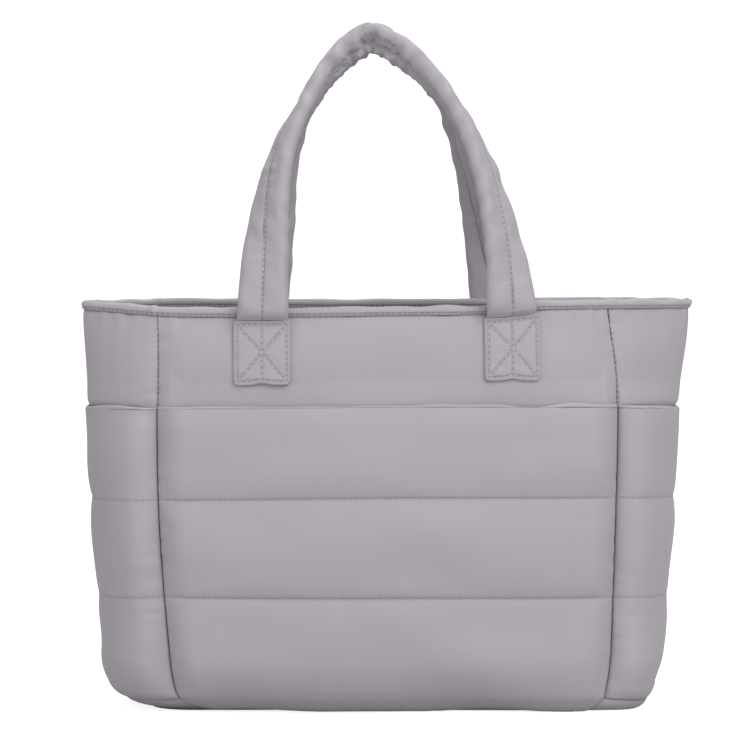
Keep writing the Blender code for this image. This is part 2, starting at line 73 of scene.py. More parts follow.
class Slot(Enum):
    """The record's material slots."""

    SHELL = "shell_cloth"
    STRAP = "strap_cloth"
    BASE = "base_cloth"


class Section(NamedTuple):
    """The skin's loop at one level, as shares of half the rim's width and half the body's depth."""

    level: float
    side: float
    seam: float
    depth: float
    crown: float
    roundness: float
    sway: float


class RimDrop(NamedTuple):
    """How far the front and back rims hang at one share of the half width."""

    across: float
    front: float
    back: float


class Wander(NamedTuple):
    """How far each side seam wanders at one level, in metres."""

    level: float
    left: float
    right: float


class Sink(NamedTuple):
    """How far the lower seam row and the rows above it sink at one place round the loop, in metres."""

    place: float
    lower: float
    upper: float


class SinkShare(NamedTuple):
    """How much of both sinks a level takes."""

    level: float
    lower: float
    upper: float


class Station(NamedTuple):
    """The strap at one place between its tabs: shares of rise, spacing, stand-off and size, and degrees."""

    rise: float
    across: float
    stand: float
    turn: float
    fold: float
    thick: float
    wide: float


SECTIONS = (
    Section(0.00, 0.868, 0.645, 0.760, 0.080, 2.60, 1.00),
    Section(0.04, 0.873, 0.672, 0.775, 0.095, 2.50, 1.00),
    Section(0.08, 0.873, 0.687, 0.785, 0.115, 2.40, 1.00),
    Section(0.20, 0.873, 0.704, 0.795, 0.155, 2.20, 1.00),
    Section(0.41, 0.890, 0.715, 0.790, 0.200, 2.00, 1.00),
    Section(0.70, 0.909, 0.726, 0.760, 0.230, 1.80, 1.00),
    Section(0.93, 0.922, 0.732, 0.705, 0.235, 1.65, 0.95),
    Section(1.00, 0.926, 0.733, 0.680, 0.235, 1.60, 0.90),
    Section(1.02, 0.962, 0.733, 0.676, 0.235, 1.58, 0.87),
    Section(1.10, 0.968, 0.734, 0.660, 0.235, 1.52, 0.75),
    Section(1.50, 0.981, 0.737, 0.615, 0.235, 1.32, 0.35),
    Section(2.00, 1.000, 0.742, 0.557, 0.230, 1.12, 0.00),
)
RIM_DROPS = (
    RimDrop(-1.00, 0.00, 0.00),
    RimDrop(-0.65, 1.00, 0.05),
    RimDrop(-0.40, 1.00, 0.30),
    RimDrop(0.00, 0.75, 0.50),
    RimDrop(0.32, 0.60, 0.45),
    RimDrop(0.50, -0.30, 0.20),
    RimDrop(0.75, -0.35, 0.00),
    RimDrop(1.00, 0.00, 0.00),
)
WANDERS = (
    Wander(0.00, -0.0005, 0.0042),
    Wander(0.20, -0.0005, 0.0038),
    Wander(0.41, -0.0019, 0.0033),
    Wander(0.70, -0.0031, 0.0030),
    Wander(1.00, -0.0025, 0.0028),
    Wander(2.00, -0.0034, -0.0083),
)
SINKS = (
    Sink(0.00, 0.0016, 0.0018),
    Sink(0.50, 0.0020, 0.0000),
    Sink(1.00, 0.0047, 0.0021),
    Sink(1.50, 0.0065, 0.0048),
    Sink(2.00, 0.0040, 0.0025),
    Sink(2.50, 0.0015, 0.0003),
    Sink(3.00, 0.0016, 0.0018),
    Sink(3.50, 0.0042, 0.0034),
    Sink(4.00, 0.0016, 0.0018),
)
SINK_SHARES = (
    SinkShare(0.00, 0.00, 0.00),
    SinkShare(0.08, 0.00, 0.00),
    SinkShare(0.39, 1.00, 0.00),
    SinkShare(0.71, 0.00, 1.00),
    SinkShare(1.00, 0.00, 0.95),
    SinkShare(2.00, 0.00, 0.00),
)
HANDLE_STATIONS = (
    Station(0.000, -1.000, 0.55, 0, 0, 0.50, 1.00),
    Station(0.022, -1.000, 0.90, 2, 0, 0.74, 1.00),
    Station(0.060, -0.996, 1.00, 5, 0, 0.95, 1.00),
    Station(0.200, -0.974, 1.00, 20, 3, 1.00, 1.00),
    Station(0.416, -0.923, 1.00, 52, 4, 1.00, 1.00),
    Station(0.600, -0.827, 1.00, 74, 5, 0.98, 1.00),
    Station(0.741, -0.672, 1.00, 86, 7, 0.88, 1.00),
    Station(0.886, -0.467, 1.00, 89, 22, 0.88, 1.00),
    Station(0.962, -0.290, 1.00, 90, 36, 1.04, 1.00),
    Station(1.000, -0.100, 1.00, 90, 46, 1.08, 1.02),
    Station(0.948, 0.135, 1.00, 90, 38, 1.02, 1.00),
    Station(0.876, 0.324, 1.00, 88, 25, 0.94, 1.00),
    Station(0.738, 0.562, 1.00, 82, 12, 0.92, 1.00),
    Station(0.596, 0.720, 1.00, 72, 8, 1.00, 1.00),
    Station(0.416, 0.854, 1.00, 57, 5, 1.00, 1.00),
    Station(0.200, 0.951, 1.00, 32, 3, 1.00, 1.00),
    Station(0.060, 0.990, 1.00, 8, 0, 0.95, 1.00),
    Station(0.022, 1.000, 0.90, 3, 0, 0.74, 1.00),
    Station(0.000, 1.000, 0.55, 0, 0, 0.50, 1.00),
)


def steady_curve(knots: Sequence[float], values: Sequence[float], at: Array) -> Array:
    """A smooth curve through the knots that never overshoots them.

    Args:
        knots: Rising places of the knots.
        values: The value at each knot.
        at: The places to read.

    Returns:
        The value at each place.
    """
    knots, values = np.asarray(knots, float), np.asarray(values, float)
    at = np.clip(at, knots[0], knots[-1])
    k = np.clip(np.searchsorted(knots, at, side="right") - 1, 0, len(knots) - 2)
    widths = np.diff(knots)
    slopes = np.diff(values) / widths
    before, after = slopes[:-1], slopes[1:]
    level = before * after <= 0
    inner = np.where(level, 0.0, 2 * before * after / np.where(level, 1.0, before + after))
    knot_slopes = np.concatenate([slopes[:1], inner, slopes[-1:]])
    span = widths[k]
    t = (at - knots[k]) / span
    rise = t * t * (3 - 2 * t) * (values[k + 1] - values[k])
    start = t * (1 - t) ** 2 * span * knot_slopes[k]
    end = t * t * (t - 1) * span * knot_slopes[k + 1]
    return values[k] + rise + start + end


def column(rows: Sequence[NamedTuple], name: str, knot: str, at: Array) -> Array:
    """One named column of a table, read smoothly between its rows.

    Args:
        rows: The table.
        name: The column to read.
        knot: The column that holds the rows' places.
        at: The places to read.

    Returns:
        The column's value at each place.
    """
    return steady_curve([getattr(r, knot) for r in rows], [getattr(r, name) for r in rows], at)


def unit(vectors: Array) -> Array:
    """The vectors scaled to length one."""
    return vectors / np.maximum(np.linalg.norm(vectors, axis=-1, keepdims=True), 1e-12)


def eased(distance: Array, reach: float) -> Array:
    """0 at a seam, rising smoothly to 1 at the given reach from it."""
    return 1 - (1 - np.clip(distance / reach, 0, 1)) ** 2


def bell(distance: Array, width: float) -> Array:
    """1 at the middle, falling smoothly to 0 beyond the width."""
    return np.exp(-((distance / width) ** 2))


def level_out(along: Array) -> Array:
    """The level direction out of the bag, square to the loop."""
    return unit(np.stack([along[..., 1], -along[..., 0], np.zeros(along.shape[:-1])], axis=-1))


def crowded(count: int, crowding: float) -> Array:
    """Shares from 0 to 1 that stand closer together at both ends.

    Args:
        count: How many steps there are.
        crowding: 0 for even steps, 1 for steps that shrink fully at the ends.

    Returns:
        The count + 1 shares.
    """
    even = np.linspace(0, 1, count + 1)
    return even + (0.5 - 0.5 * np.cos(math.pi * even) - even) * crowding


def loop_places(face_columns: int, gusset_columns: int, crowding: float) -> Array:
    """The places of every column round the loop, closed.

    Args:
        face_columns: How many columns the front and the back have.
        gusset_columns: How many columns each gusset has.
        crowding: How close together they stand at the seams.

    Returns:
        The places, from 0 to almost 4.
    """
    made = []
    for panel in Panel:
        count = face_columns if panel in (Panel.FRONT, Panel.BACK) else gusset_columns
        made.append(panel + np.minimum(crowded(count, crowding), SAME_PANEL)[:-1])
    return np.concatenate([*made, [Panel.LEFT + SAME_PANEL]])


def along_line(walked: Array, values: Array, where: Array) -> Array:
    """A line's values at some places along it.

    Args:
        walked: Metres walked at each point of the line.
        values: The vector at each point.
        where: The metres at which to read.

    Returns:
        The vectors there.
    """
    return np.stack([np.interp(where, walked, values[:, k]) for k in range(3)], axis=-1)


@dataclass(frozen=True)
class Unevenness:
    """Seeded soft waves over a surface, of about unit strength."""

    seed: int
    along: float
    up: float
    waves: int = 12
    spread: float = 0.45

    def at(self, u: Array, v: Array) -> Array:
        """The waves' height.

        Args:
            u: Metres along the cloth.
            v: Metres up the cloth.

        Returns:
            The height at each place, with a root mean square of about one.
        """
        random = np.random.default_rng(self.seed)
        total = np.zeros(np.broadcast(u, v).shape)
        for _ in range(self.waves):
            slant, phase = random.uniform(0, math.pi), random.uniform(0, TURN)
            stretch = 1 + random.uniform(-self.spread, self.spread)
            turns = u * math.cos(slant) / self.along + v * math.sin(slant) / self.up
            total += np.cos(TURN * stretch * turns + phase)
        return total / math.sqrt(self.waves / 2)


@dataclass(frozen=True)
class Pucker:
    """The short ripples that a tight seam pulls into the cloth beside it."""

    seed: int
    pitch: float = 0.009
    reach: float = 0.008
    depth: float = 0.0003

    def at(self, along: Array, distance: Array) -> Array:
        """The ripples' height.

        Args:
            along: Metres along the seam.
            distance: Metres from the seam.

        Returns:
            The height in metres.
        """
        ripple = Unevenness(self.seed, self.pitch, self.pitch, waves=8, spread=0.35)
        fan = Unevenness(self.seed + 1, 6 * self.pitch, 6 * self.pitch).at(along, np.zeros_like(along))
        strength = np.clip(0.75 + 0.35 * fan, 0.1, 1.6)
        return self.depth * strength * np.exp(-distance / self.reach) * ripple.at(along, 0.15 * distance)


@dataclass(frozen=True)
class PullLines:
    """Soft slanting folds that run into the cloth from a side seam."""

    seed: int
    count: int = 9
    depth: float = 0.00055
    reach: float = 0.024
    width: float = 0.0042
    low: float = 0.03
    high: float = 0.28
    slant: float = 0.55
    clear: float = 0.006

    def at(self, distance: Array, second: Array, z: Array) -> Array:
        """The folds' depth, below zero.

        Args:
            distance: Metres from the nearest side seam.
            second: Whether that is the panel's second seam.
            z: The heights.

        Returns:
            The depth in metres.
        """
        random = np.random.default_rng(self.seed)
        total = np.zeros(np.broadcast(distance, z).shape)
        for k in range(2 * self.count):
            start = random.uniform(self.low, self.high)
            slope = random.uniform(-self.slant, self.slant)
            width = self.width * random.uniform(0.7, 1.5)
            depth = self.depth * random.uniform(0.4, 1.2)
            line = bell(z - start - slope * distance, width)
            total -= depth * line * (second == (k % 2 == 1))
        return total * np.exp(-distance / self.reach) * eased(distance, self.clear)


@dataclass(frozen=True)
class Skin:
    """The bag's skin, with the same driving sizes as the CAD source."""

    rim_width: float = 0.4405
    rim_height: float = 0.2935
    body_depth: float = 0.122
    pocket_height: float = 0.2215
    base_radius: float = 0.015
    base_rise: float = 0.003
    lean: float = 0.003
    sag: float = 0.0035
    shift: float = 0.0047
    crown_power: float = 2.3
    gusset_girth: float = 2.2
    hem_height: float = 0.0065
    seam_gap: float = 0.0003
    loop_step: float = 0.02
    rise_step: float = 0.002
    foot_spread: float = 1.35
    right_foot: float = 0.5
    right_square: float = 0.5
    left_foot: float = 1.3
    right_waist: float = 0.0035
    right_corner: float = 0.010
    left_lift: float = 0.0022
    waist_height: float = 0.024
    waist_reach: float = 0.020
    corner_reach: float = 0.05
    foot_reach: float = 0.03

    def level(self, z: Array) -> Array:
        """The section table's level at a height."""
        above = 1 + (z - self.pocket_height) / (self.rim_height - self.pocket_height)
        return np.where(z <= self.pocket_height, z / self.pocket_height, above)

    def inset(self, z: Array) -> Array:
        """How far the round at the foot of the walls pulls them in."""
        short = np.clip(self.base_radius + self.base_rise - z, 0, self.base_radius)
        return self.base_radius - np.sqrt(self.base_radius**2 - short**2)

    def size(self, name: str, z: Array) -> Array:
        """One column of the section table at a height."""
        return column(SECTIONS, name, "level", self.level(z))

    def drift(self, hand: Array | float, z: Array) -> Array:
        """How far the cloth wanders sideways.

        Args:
            hand: From -1 at the left seam to 1 at the right seam.
            z: The heights.

        Returns:
            Metres to the right.
        """
        left, right = (column(WANDERS, name, "level", self.level(z)) for name in ("left", "right"))
        return left + (right - left) * (1 + hand) / 2

    def sink(self, place: Array, z: Array) -> Array:
        """How far the cloth has sunk between the foot and the rim.

        Args:
            place: Places round the loop.
            z: The heights.

        Returns:
            Metres down.
        """
        made = 0.0
        for name in ("lower", "upper"):
            share = column(SINK_SHARES, name, "level", self.level(z))
            made = made + column(SINKS, name, "place", place) * share
        return made

    def seam_half(self, z: Array) -> Array:
        """Half the distance between the front seams."""
        return self.size("seam", z) * self.rim_width / 2 - self.inset(z)

    def point(self, place: Array, z: Array) -> Array:
        """Points of the skin.

        Args:
            place: From 0 to 4 round the loop, one unit for each panel.
            z: The heights.

        Returns:
            The points, in metres.
        """
        place, z = np.broadcast_arrays(np.mod(place, 4.0), z)
        panel = np.floor(place)
        share = place - panel
        inset = self.inset(z)
        across = 2 * share - 1
        flat = np.mod(panel, 2) == 0
        facing = np.where(panel < 2, 1.0, -1.0)
        right = np.where(flat, np.clip(facing * across, 0, 1), np.clip(facing, 0, 1))
        foot = np.where(facing > 0, self.right_foot, self.left_foot)
        side = self.size("side", z) * self.rim_width / 2 - inset * foot
        side = side - (facing > 0) * self.right_waist * bell(z - self.waist_height, self.waist_reach)
        seam = self.seam_half(z) + inset * self.foot_spread * right
        depth = self.size("depth", z) * self.body_depth / 2 - inset * (1 - self.right_foot * right)
        depth = depth + self.right_corner * right * bell(z, self.corner_reach)
        crown = self.size("crown", z) * self.body_depth / 2
        squarer = 1 + self.right_square * (facing > 0) * bell(z, self.foot_reach)
        power = 2 / (self.size("roundness", z) * squarer)
        cosine = np.cos(math.pi * share)
        sine = np.clip(np.sin(math.pi * share), 0, 1)
        drift = facing * self.drift(facing * np.where(flat, across, 1.0), z)
        x = np.where(flat, across * seam + drift, seam + drift + (side - seam - drift) * sine**power)
        bulge = depth + crown * (1 - np.abs(across) ** self.crown_power)
        y = np.where(flat, -bulge, -depth * np.sign(cosine) * np.abs(cosine) ** power)
        sway = self.size("sway", z) * self.lean
        left = np.where(flat, np.clip(-facing * across, 0, 1), np.clip(-facing, 0, 1))
        height = z + self.left_lift * left**2 * bell(z, self.foot_reach) - self.sink(place, z)
        return np.stack([facing * x - sway, facing * y + self.shift, height], axis=-1)

    def directions(self, place: Array, z: Array) -> tuple[Array, Array]:
        """The loop's direction and the skin's outward normal.

        Args:
            place: Places round the loop.
            z: The heights.

        Returns:
            Unit vectors along the loop and out of the bag.
        """
        place, z = np.broadcast_arrays(place, z)
        along = unit(self.point(place + self.loop_step, z) - self.point(place - self.loop_step, z))
        level = np.stack([along[..., 1], -along[..., 0], np.zeros_like(z)], axis=-1)
        above = z - self.base_rise
        rolled = np.arccos(np.clip(1 - above / self.base_radius, -1, 1))
        low = level * np.sin(rolled)[..., None] - np.array([0, 0, 1.0]) * np.cos(rolled)[..., None]
        below = np.maximum(z - self.rise_step, self.base_rise + self.base_radius)
        over = np.maximum(z + self.rise_step, below + self.rise_step)
        high = np.cross(along, self.point(place, over) - self.point(place, below))
        return along, unit(np.where((above < self.base_radius)[..., None], low, high))

    def offset(self, place: Array, z: Array, out: Array, nudge: Array | float = 0.0) -> Array:
        """Points that stand off the skin.

        Args:
            place: Places round the loop.
            z: The heights.
            out: How far out each point stands.
            nudge: How far each point moves along the loop.

        Returns:
            The points, kept above the floor.
        """
        along, outward = self.directions(place, z)
        nudge = np.broadcast_to(nudge, np.shape(out))
        points = self.point(place, z) + outward * np.asarray(out)[..., None] + along * nudge[..., None]
        points[..., 2] = np.maximum(points[..., 2], FLOOR_GAP)
        return points

    def seam_distance(self, place: Array, z: Array) -> Array:
        """How far a place is from the nearest vertical seam.

        Args:
            place: Places round the loop.
            z: The heights.

        Returns:
            Metres along the loop.
        """
        place, z = np.broadcast_arrays(np.mod(place, 4.0), z)
        share = place - np.floor(place)
        seam = self.seam_half(z)
        inset = self.inset(z)
        side = self.size("side", z) * self.rim_width / 2 - inset
        depth = self.size("depth", z) * self.body_depth / 2 - inset
        gusset = self.gusset_girth * np.hypot(side - seam, depth)
        girth = np.where(np.mod(np.floor(place), 2) == 0, 2 * seam, gusset)
        return girth * np.minimum(share, 1 - share)

    def wall_top(self, place: Array) -> Array:
        """The height where the walls end and the hem begins.

        Args:
            place: Places round the loop.

        Returns:
            The heights.
        """
        place = np.mod(place, 4.0)
        x = self.point(place, np.full_like(place, self.rim_height))[..., 0]
        across = np.clip(x * 2 / self.rim_width, -1, 1)
        front = column(RIM_DROPS, "front", "across", across)
        back = column(RIM_DROPS, "back", "across", across)
        panel = np.floor(place)
        share = place - panel
        towards_back = np.select([panel == 0, panel == 1, panel == 2], [0.0, share, 1.0], 1 - share)
        drop = (front + (back - front) * towards_back) * self.sag
        return self.rim_height - drop - self.hem_height - self.seam_gap

    def wall_place(self, side: Panel, x: Array, z: Array) -> Array:
        """The place on the front or back wall that lies at a given x.

        Args:
            side: The front or the back.
            x: Metres to the right.
            z: The heights.

        Returns:
            Places round the loop.
        """
        sway = -self.size("sway", z) * self.lean
        middle = self.drift(0.0, z)
        half = self.seam_half(z) + self.drift(1.0, z) - middle
        across = np.clip((x - sway - middle) / half, -1, 1)
        return side + (1 + across) / 2 if side == Panel.FRONT else side + (1 - across) / 2


@dataclass(frozen=True)
class Padding:
    """How thick the padded layers are and how far each stands off the skin."""

    skin: Skin = Skin()
    wall: float = 0.004
    pocket_wall: float = 0.0022
    front_slot: float = 0.0072
    side_slot: float = 0.0088
    panel_puff: float = 0.0055
    band_puff: float = 0.0042
    gusset_puff: float = 0.0022
    roundness: float = 0.6
    seam_ease: float = 0.022
    slot_ease: float = 0.020
    slot_foot_share: float = 1.5
    lip_fullness: float = 0.45
    layer_gap: float = 0.0004
    channel_seams: tuple[float, ...] = (0.394, 0.704)
    shoulder_gap: float = 0.0008
    shoulder: float = 0.070
    shoulder_depth: float = 0.030

    def channel_heights(self) -> list[float]:
        """The heights of the sewn channel seams."""
        return [share * self.skin.pocket_height for share in self.channel_seams]

    def puff(self, place: Array, z: Array, end_fullness: float = 0.0) -> Array:
        """How far the padding stands out, as a share of the full puff.

        Args:
            place: Places round the loop.
            z: The heights.
            end_fullness: The share that a slip pocket keeps at its top edge.

        Returns:
            Shares from 0 at a seam to 1 in the middle of a channel.
        """
        low, high = self.channel_heights()
        top = self.skin.wall_top(place)
        k = (z > low).astype(int) + (z > high) + (z > self.skin.pocket_height)
        starts = (self.skin.base_rise, low, high, self.skin.pocket_height)
        start = np.choose(k, starts)
        end = np.choose(k, [low, high, self.skin.pocket_height, top])
        share = np.clip((z - start) / (end - start), 0, 1)
        rounded = (4 * share * (1 - share)) ** self.roundness
        lip = (share > 0.5) & (k == 2)
        rounded = np.where(lip, end_fullness + (1 - end_fullness) * rounded, rounded)
        return rounded * eased(self.skin.seam_distance(place, z), self.seam_ease)

    def by_panel(self, place: Array, on_face: float, on_gusset: float) -> Array:
        """One value on the front and back, another on the gussets."""
        return np.where(np.mod(np.floor(np.mod(place, 4.0)), 2) == 0, on_face, on_gusset)

    def slot_room(self, place: Array, z: Array) -> Array:
        """The room between a slip pocket and the panel behind it.

        Args:
            place: Places round the loop.
            z: The heights.

        Returns:
            The offset of the pocket's inner face in metres.
        """
        room = self.by_panel(place, self.front_slot, self.side_slot)
        beside = eased(self.skin.seam_distance(place, z), self.slot_ease)
        height = z - self.skin.base_rise - self.skin.base_radius / 2
        above = eased(height, self.slot_foot_share * self.slot_ease)
        return self.layer_gap + (room - self.layer_gap) * beside * above

    def wall_outer(self, place: Array, z: Array) -> Array:
        """The outward offset of a body panel's outer face, which stays full down behind a pocket's lip.

        Args:
            place: Places round the loop.
            z: The heights.

        Returns:
            The offset in metres.
        """
        above = z - self.skin.pocket_height
        band = self.by_panel(place, self.band_puff, self.gusset_puff)
        back = np.floor(np.mod(place, 4.0)) == Panel.BACK
        low = np.where(back, self.panel_puff, 0.0)
        plain = np.where(above > 0, band, low) * self.puff(place, z)
        away = np.clip(np.where(above > 0, above / self.shoulder, -above / self.shoulder_depth), 0, 1)
        full = np.clip(self.slot_room(place, z) - self.shoulder_gap, 0, band)
        shoulder = full * (1 - away) ** 2 * (1 + 2 * away)
        return np.where(back, plain, np.maximum(plain, shoulder))

    def wall_inner(self, place: Array, z: Array) -> Array:
        """The outward offset of a body panel's inner face."""
        return np.full(np.broadcast(place, z).shape, -self.wall)

    def pocket_outer(self, place: Array, z: Array) -> Array:
        """The outward offset of a pocket's outer face."""
        full = self.by_panel(place, self.panel_puff, self.gusset_puff)
        return self.slot_room(place, z) + self.pocket_wall + full * self.puff(place, z, self.lip_fullness)


@dataclass
class Cloth:
    """A grid of cloth: its points, and what its finish reads at each of them."""

    points: Array
    sewn: Array
    run: Array
    laid: Array | None = None

    def flat(self) -> Array:
        """Where each point lies on the cloth, for the weave.

        Returns:
            Metres along and up the cloth.
        """
        if self.laid is None:
            along = np.linalg.norm(np.diff(self.points, axis=1), axis=2)
            up = np.linalg.norm(np.diff(self.points, axis=0), axis=2)
            u = np.concatenate([[0], np.cumsum(np.median(along, axis=0))])
            v = np.concatenate([[0], np.cumsum(np.median(up, axis=1))])
            self.laid = np.stack(np.broadcast_arrays(u[None, :], v[:, None]), axis=-1)
        return self.laid


@dataclass
class Body:
    """Points and faces of one piece, gathered from its grids."""

    points: list[Array]
    faces: list[list[int]]
    flat: list[Array]
    sewn: list[Array]
    run: list[Array]

    @classmethod
    def empty(cls) -> "Body":
        """A piece with nothing in it yet."""
        return cls([], [], [], [], [])

    def count(self) -> int:
        """How many points the piece has."""
        return sum(len(p) for p in self.points)

    def add(self, cloth: Cloth) -> Array:
        """Takes in a grid's points.

        Args:
            cloth: The grid.

        Returns:
            The number of each point, in the grid's rows and columns.
        """
        rows, columns = cloth.points.shape[:2]
        numbers = self.count() + np.arange(rows * columns).reshape(rows, columns)
        self.points.append(cloth.points.reshape(-1, 3))
        self.flat.append(cloth.flat().reshape(-1, 2))
        self.sewn.append(np.broadcast_to(cloth.sewn, (rows, columns)).ravel())
        self.run.append(np.broadcast_to(cloth.run, (rows, columns)).ravel())
        return numbers

    def cover(self, numbers: Array, flip: bool = False) -> None:
        """Adds the faces of a grid, which face out where its columns run right and its rows run up.

        Args:
            numbers: The number of each point.
            flip: Whether the faces turn round.
        """
        quads = np.stack([numbers[:-1, :-1], numbers[:-1, 1:], numbers[1:, 1:], numbers[1:, :-1]], axis=-1)
        quads = quads.reshape(-1, 4)
        self.faces += (quads[:, ::-1] if flip else quads).tolist()

    def bridge(self, fine: Array, coarse: Array, flip: bool = False) -> None:
        """Joins a fine edge to a coarse one.

        Args:
            fine: Point numbers along the fine edge.
            coarse: Point numbers along the coarse edge, which has a whole share of the fine edge's steps.
            flip: Whether the faces turn round.
        """
        ratio = (len(fine) - 1) // (len(coarse) - 1)
        for i in range(len(coarse) - 1):
            face = [*fine[i * ratio : (i + 1) * ratio + 1], coarse[i + 1], coarse[i]]
            face = [int(n) for n in face]
            self.faces.append(face[::-1] if flip else face)

    def slab(self, outer: Cloth, inner: Cloth) -> None:
        """Adds a closed slab.

        Args:
            outer: The fine outer grid.
            inner: The coarser inner grid.
        """
        out, inn = self.add(outer), self.add(inner)
        self.cover(out)
        self.cover(inn, flip=True)
        self.bridge(out[0], inn[0], flip=True)
        self.bridge(out[-1], inn[-1])
        self.bridge(out[:, 0], inn[:, 0])
        self.bridge(out[:, -1], inn[:, -1], flip=True)

    def piece(self, name: str, material: bpy.types.Material, slot: Slot) -> bpy.types.Object:
        """Makes the piece's object, which rides on the bag.

        Args:
            name: The piece's name.
            material: Its finish.
            slot: Not used.

        Returns:
            The object.
        """
        mesh = bpy.data.meshes.new(name)
        mesh.from_pydata(np.concatenate(self.points).tolist(), [], self.faces)
        mesh.update()
        mesh.shade_smooth()
        flat = np.concatenate(self.flat)
        corners = np.empty(len(mesh.loops), np.int32)
        mesh.loops.foreach_get("vertex_index", corners)
        laid = flat[corners].astype(np.float32).ravel()
        mesh.uv_layers.new(name=CLOTH_MAP).uv.foreach_set("vector", laid)
        for attribute, values in ((SEWN, self.sewn), (RUN, self.run)):
            made = mesh.attributes.new(attribute, "FLOAT", "POINT")
            made.data.foreach_set("value", np.concatenate(values).astype(np.float32))
        welded = bmesh.new()
        welded.from_mesh(mesh)
        bmesh.ops.remove_doubles(welded, verts=welded.verts, dist=WELD)
        welded.to_mesh(mesh)
        welded.free()
        mesh.materials.append(material)
        obj = bpy.data.objects.new(name, mesh)
        bpy.context.scene.collection.objects.link(obj)
        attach(obj, "root")
        log.info("%s: %d faces", name, len(mesh.polygons))
        return obj


@dataclass(frozen=True)
class Rows:
    """How many rows of mesh the round at the foot and each channel have."""

    foot: int
    channels: tuple[int, ...]
    crowding: float = 0.6
    face_start: float = math.radians(8)
    corner_start: float = math.radians(62)
    gusset_start: float = math.radians(57)
    face_reach: float = 0.07
    gusset_reach: float = 0.30

    def start(self, place: Array) -> Array:
        """The roll angle at which the walls begin, highest at the corners, where the base turns up.

        Args:
            place: Places round the loop.

        Returns:
            The angles, 0 flat on the floor and a quarter turn where the walls stand upright.
        """
        share = np.mod(place, 1.0)
        gusset = np.mod(np.floor(np.mod(place, 4.0)), 2) == 1
        reach = np.where(gusset, self.gusset_reach, self.face_reach)
        into = eased(np.minimum(share, 1 - share) / reach, 1.0)
        middle = np.where(gusset, self.gusset_start, self.face_start)
        return self.corner_start + (middle - self.corner_start) * into

    def heights(self, padding: Padding, place: Array) -> Array:
        """The height of every row.

        Args:
            padding: The padding, whose channel seams the rows follow.
            place: One row of places.

        Returns:
            Heights, with a row for each mesh row and a column for each place.
        """
        skin = padding.skin
        start = self.start(place)
        rolled = start + (math.pi / 2 - start) * np.linspace(0, 1, self.foot + 1)[:, None]
        rows = [skin.base_rise + skin.base_radius * (1 - np.cos(rolled))]
        low, high = padding.channel_heights()
        levels = (skin.base_rise + skin.base_radius, low, high, skin.pocket_height)
        edges = [np.full_like(place, z) for z in levels]
        edges.append(skin.wall_top(place))
        for k, count in enumerate(self.channels):
            share = crowded(count, self.crowding)[1:, None]
            rows.append(edges[k] + (edges[k + 1] - edges[k]) * share)
        return np.concatenate(rows)


@dataclass(frozen=True)
class Softness:
    """The small unevenness that cut, sewn and filled cloth has."""

    seed: int
    roll: float = 0.0010
    fullness: float = 0.00060
    streak: float = 0.00003
    seam_pucker: float = 0.00034
    channel_pucker: float = 0.00020
    hem_pucker: float = 0.00045
    full_waves: tuple[float, float] = (0.085, 0.060)
    streak_waves: tuple[float, float] = (0.011, 0.10)
    seam_ripple: tuple[float, float] = (0.0105, 0.010)
    channel_ripple: tuple[float, float] = (0.0085, 0.006)
    hem_ripple: tuple[float, float] = (0.0120, 0.009)
    free_reach: float = 0.02

    def at(self, padding: Padding, place: Array, z: Array) -> Array:
        """How far the finished cloth stands from the plain padded form.

        Args:
            padding: The padding that it lies on.
            place: Places round the loop.
            z: The heights.

        Returns:
            The change of the outward offset in metres.
        """
        skin = padding.skin
        beside = skin.seam_distance(place, z)
        along = cloth_run(skin, place, z)
        channel = np.min([np.abs(z - s) for s in padding.channel_heights()], axis=0)
        under_hem = np.maximum(skin.wall_top(place) - z, 0)
        free = eased(np.minimum(np.minimum(beside, channel), under_hem), self.free_reach)
        made = self.fullness * free * Unevenness(self.seed, *self.full_waves).at(along, z)
        made += self.streak * free * Unevenness(self.seed + 1, *self.streak_waves).at(along, z)
        second = np.broadcast_to(np.mod(place, 1.0) > 0.5, beside.shape)
        made += PullLines(self.seed + 5).at(beside, second, z)
        made += Pucker(self.seed + 2, *self.seam_ripple, self.seam_pucker).at(z, beside)
        made += Pucker(self.seed + 3, *self.channel_ripple, self.channel_pucker).at(along, channel)
        made += Pucker(self.seed + 4, *self.hem_ripple, self.hem_pucker).at(along, under_hem)
        short = np.clip(1 - beside / self.roll, 0, 1)
        return made - self.roll * (1 - np.sqrt(1 - short**2))


def cloth_run(skin: Skin, place: Array, z: Array) -> Array:
    """How far along its panel a place is.

    Args:
        skin: The skin that the panel follows.
        place: Places round the loop.
        z: The heights.

    Returns:
        Metres from the panel's first seam, roughly.
    """
    share = np.mod(place, 1.0)
    girth = skin.seam_distance(np.floor(place) + 0.5, z) * 2
    return share * girth


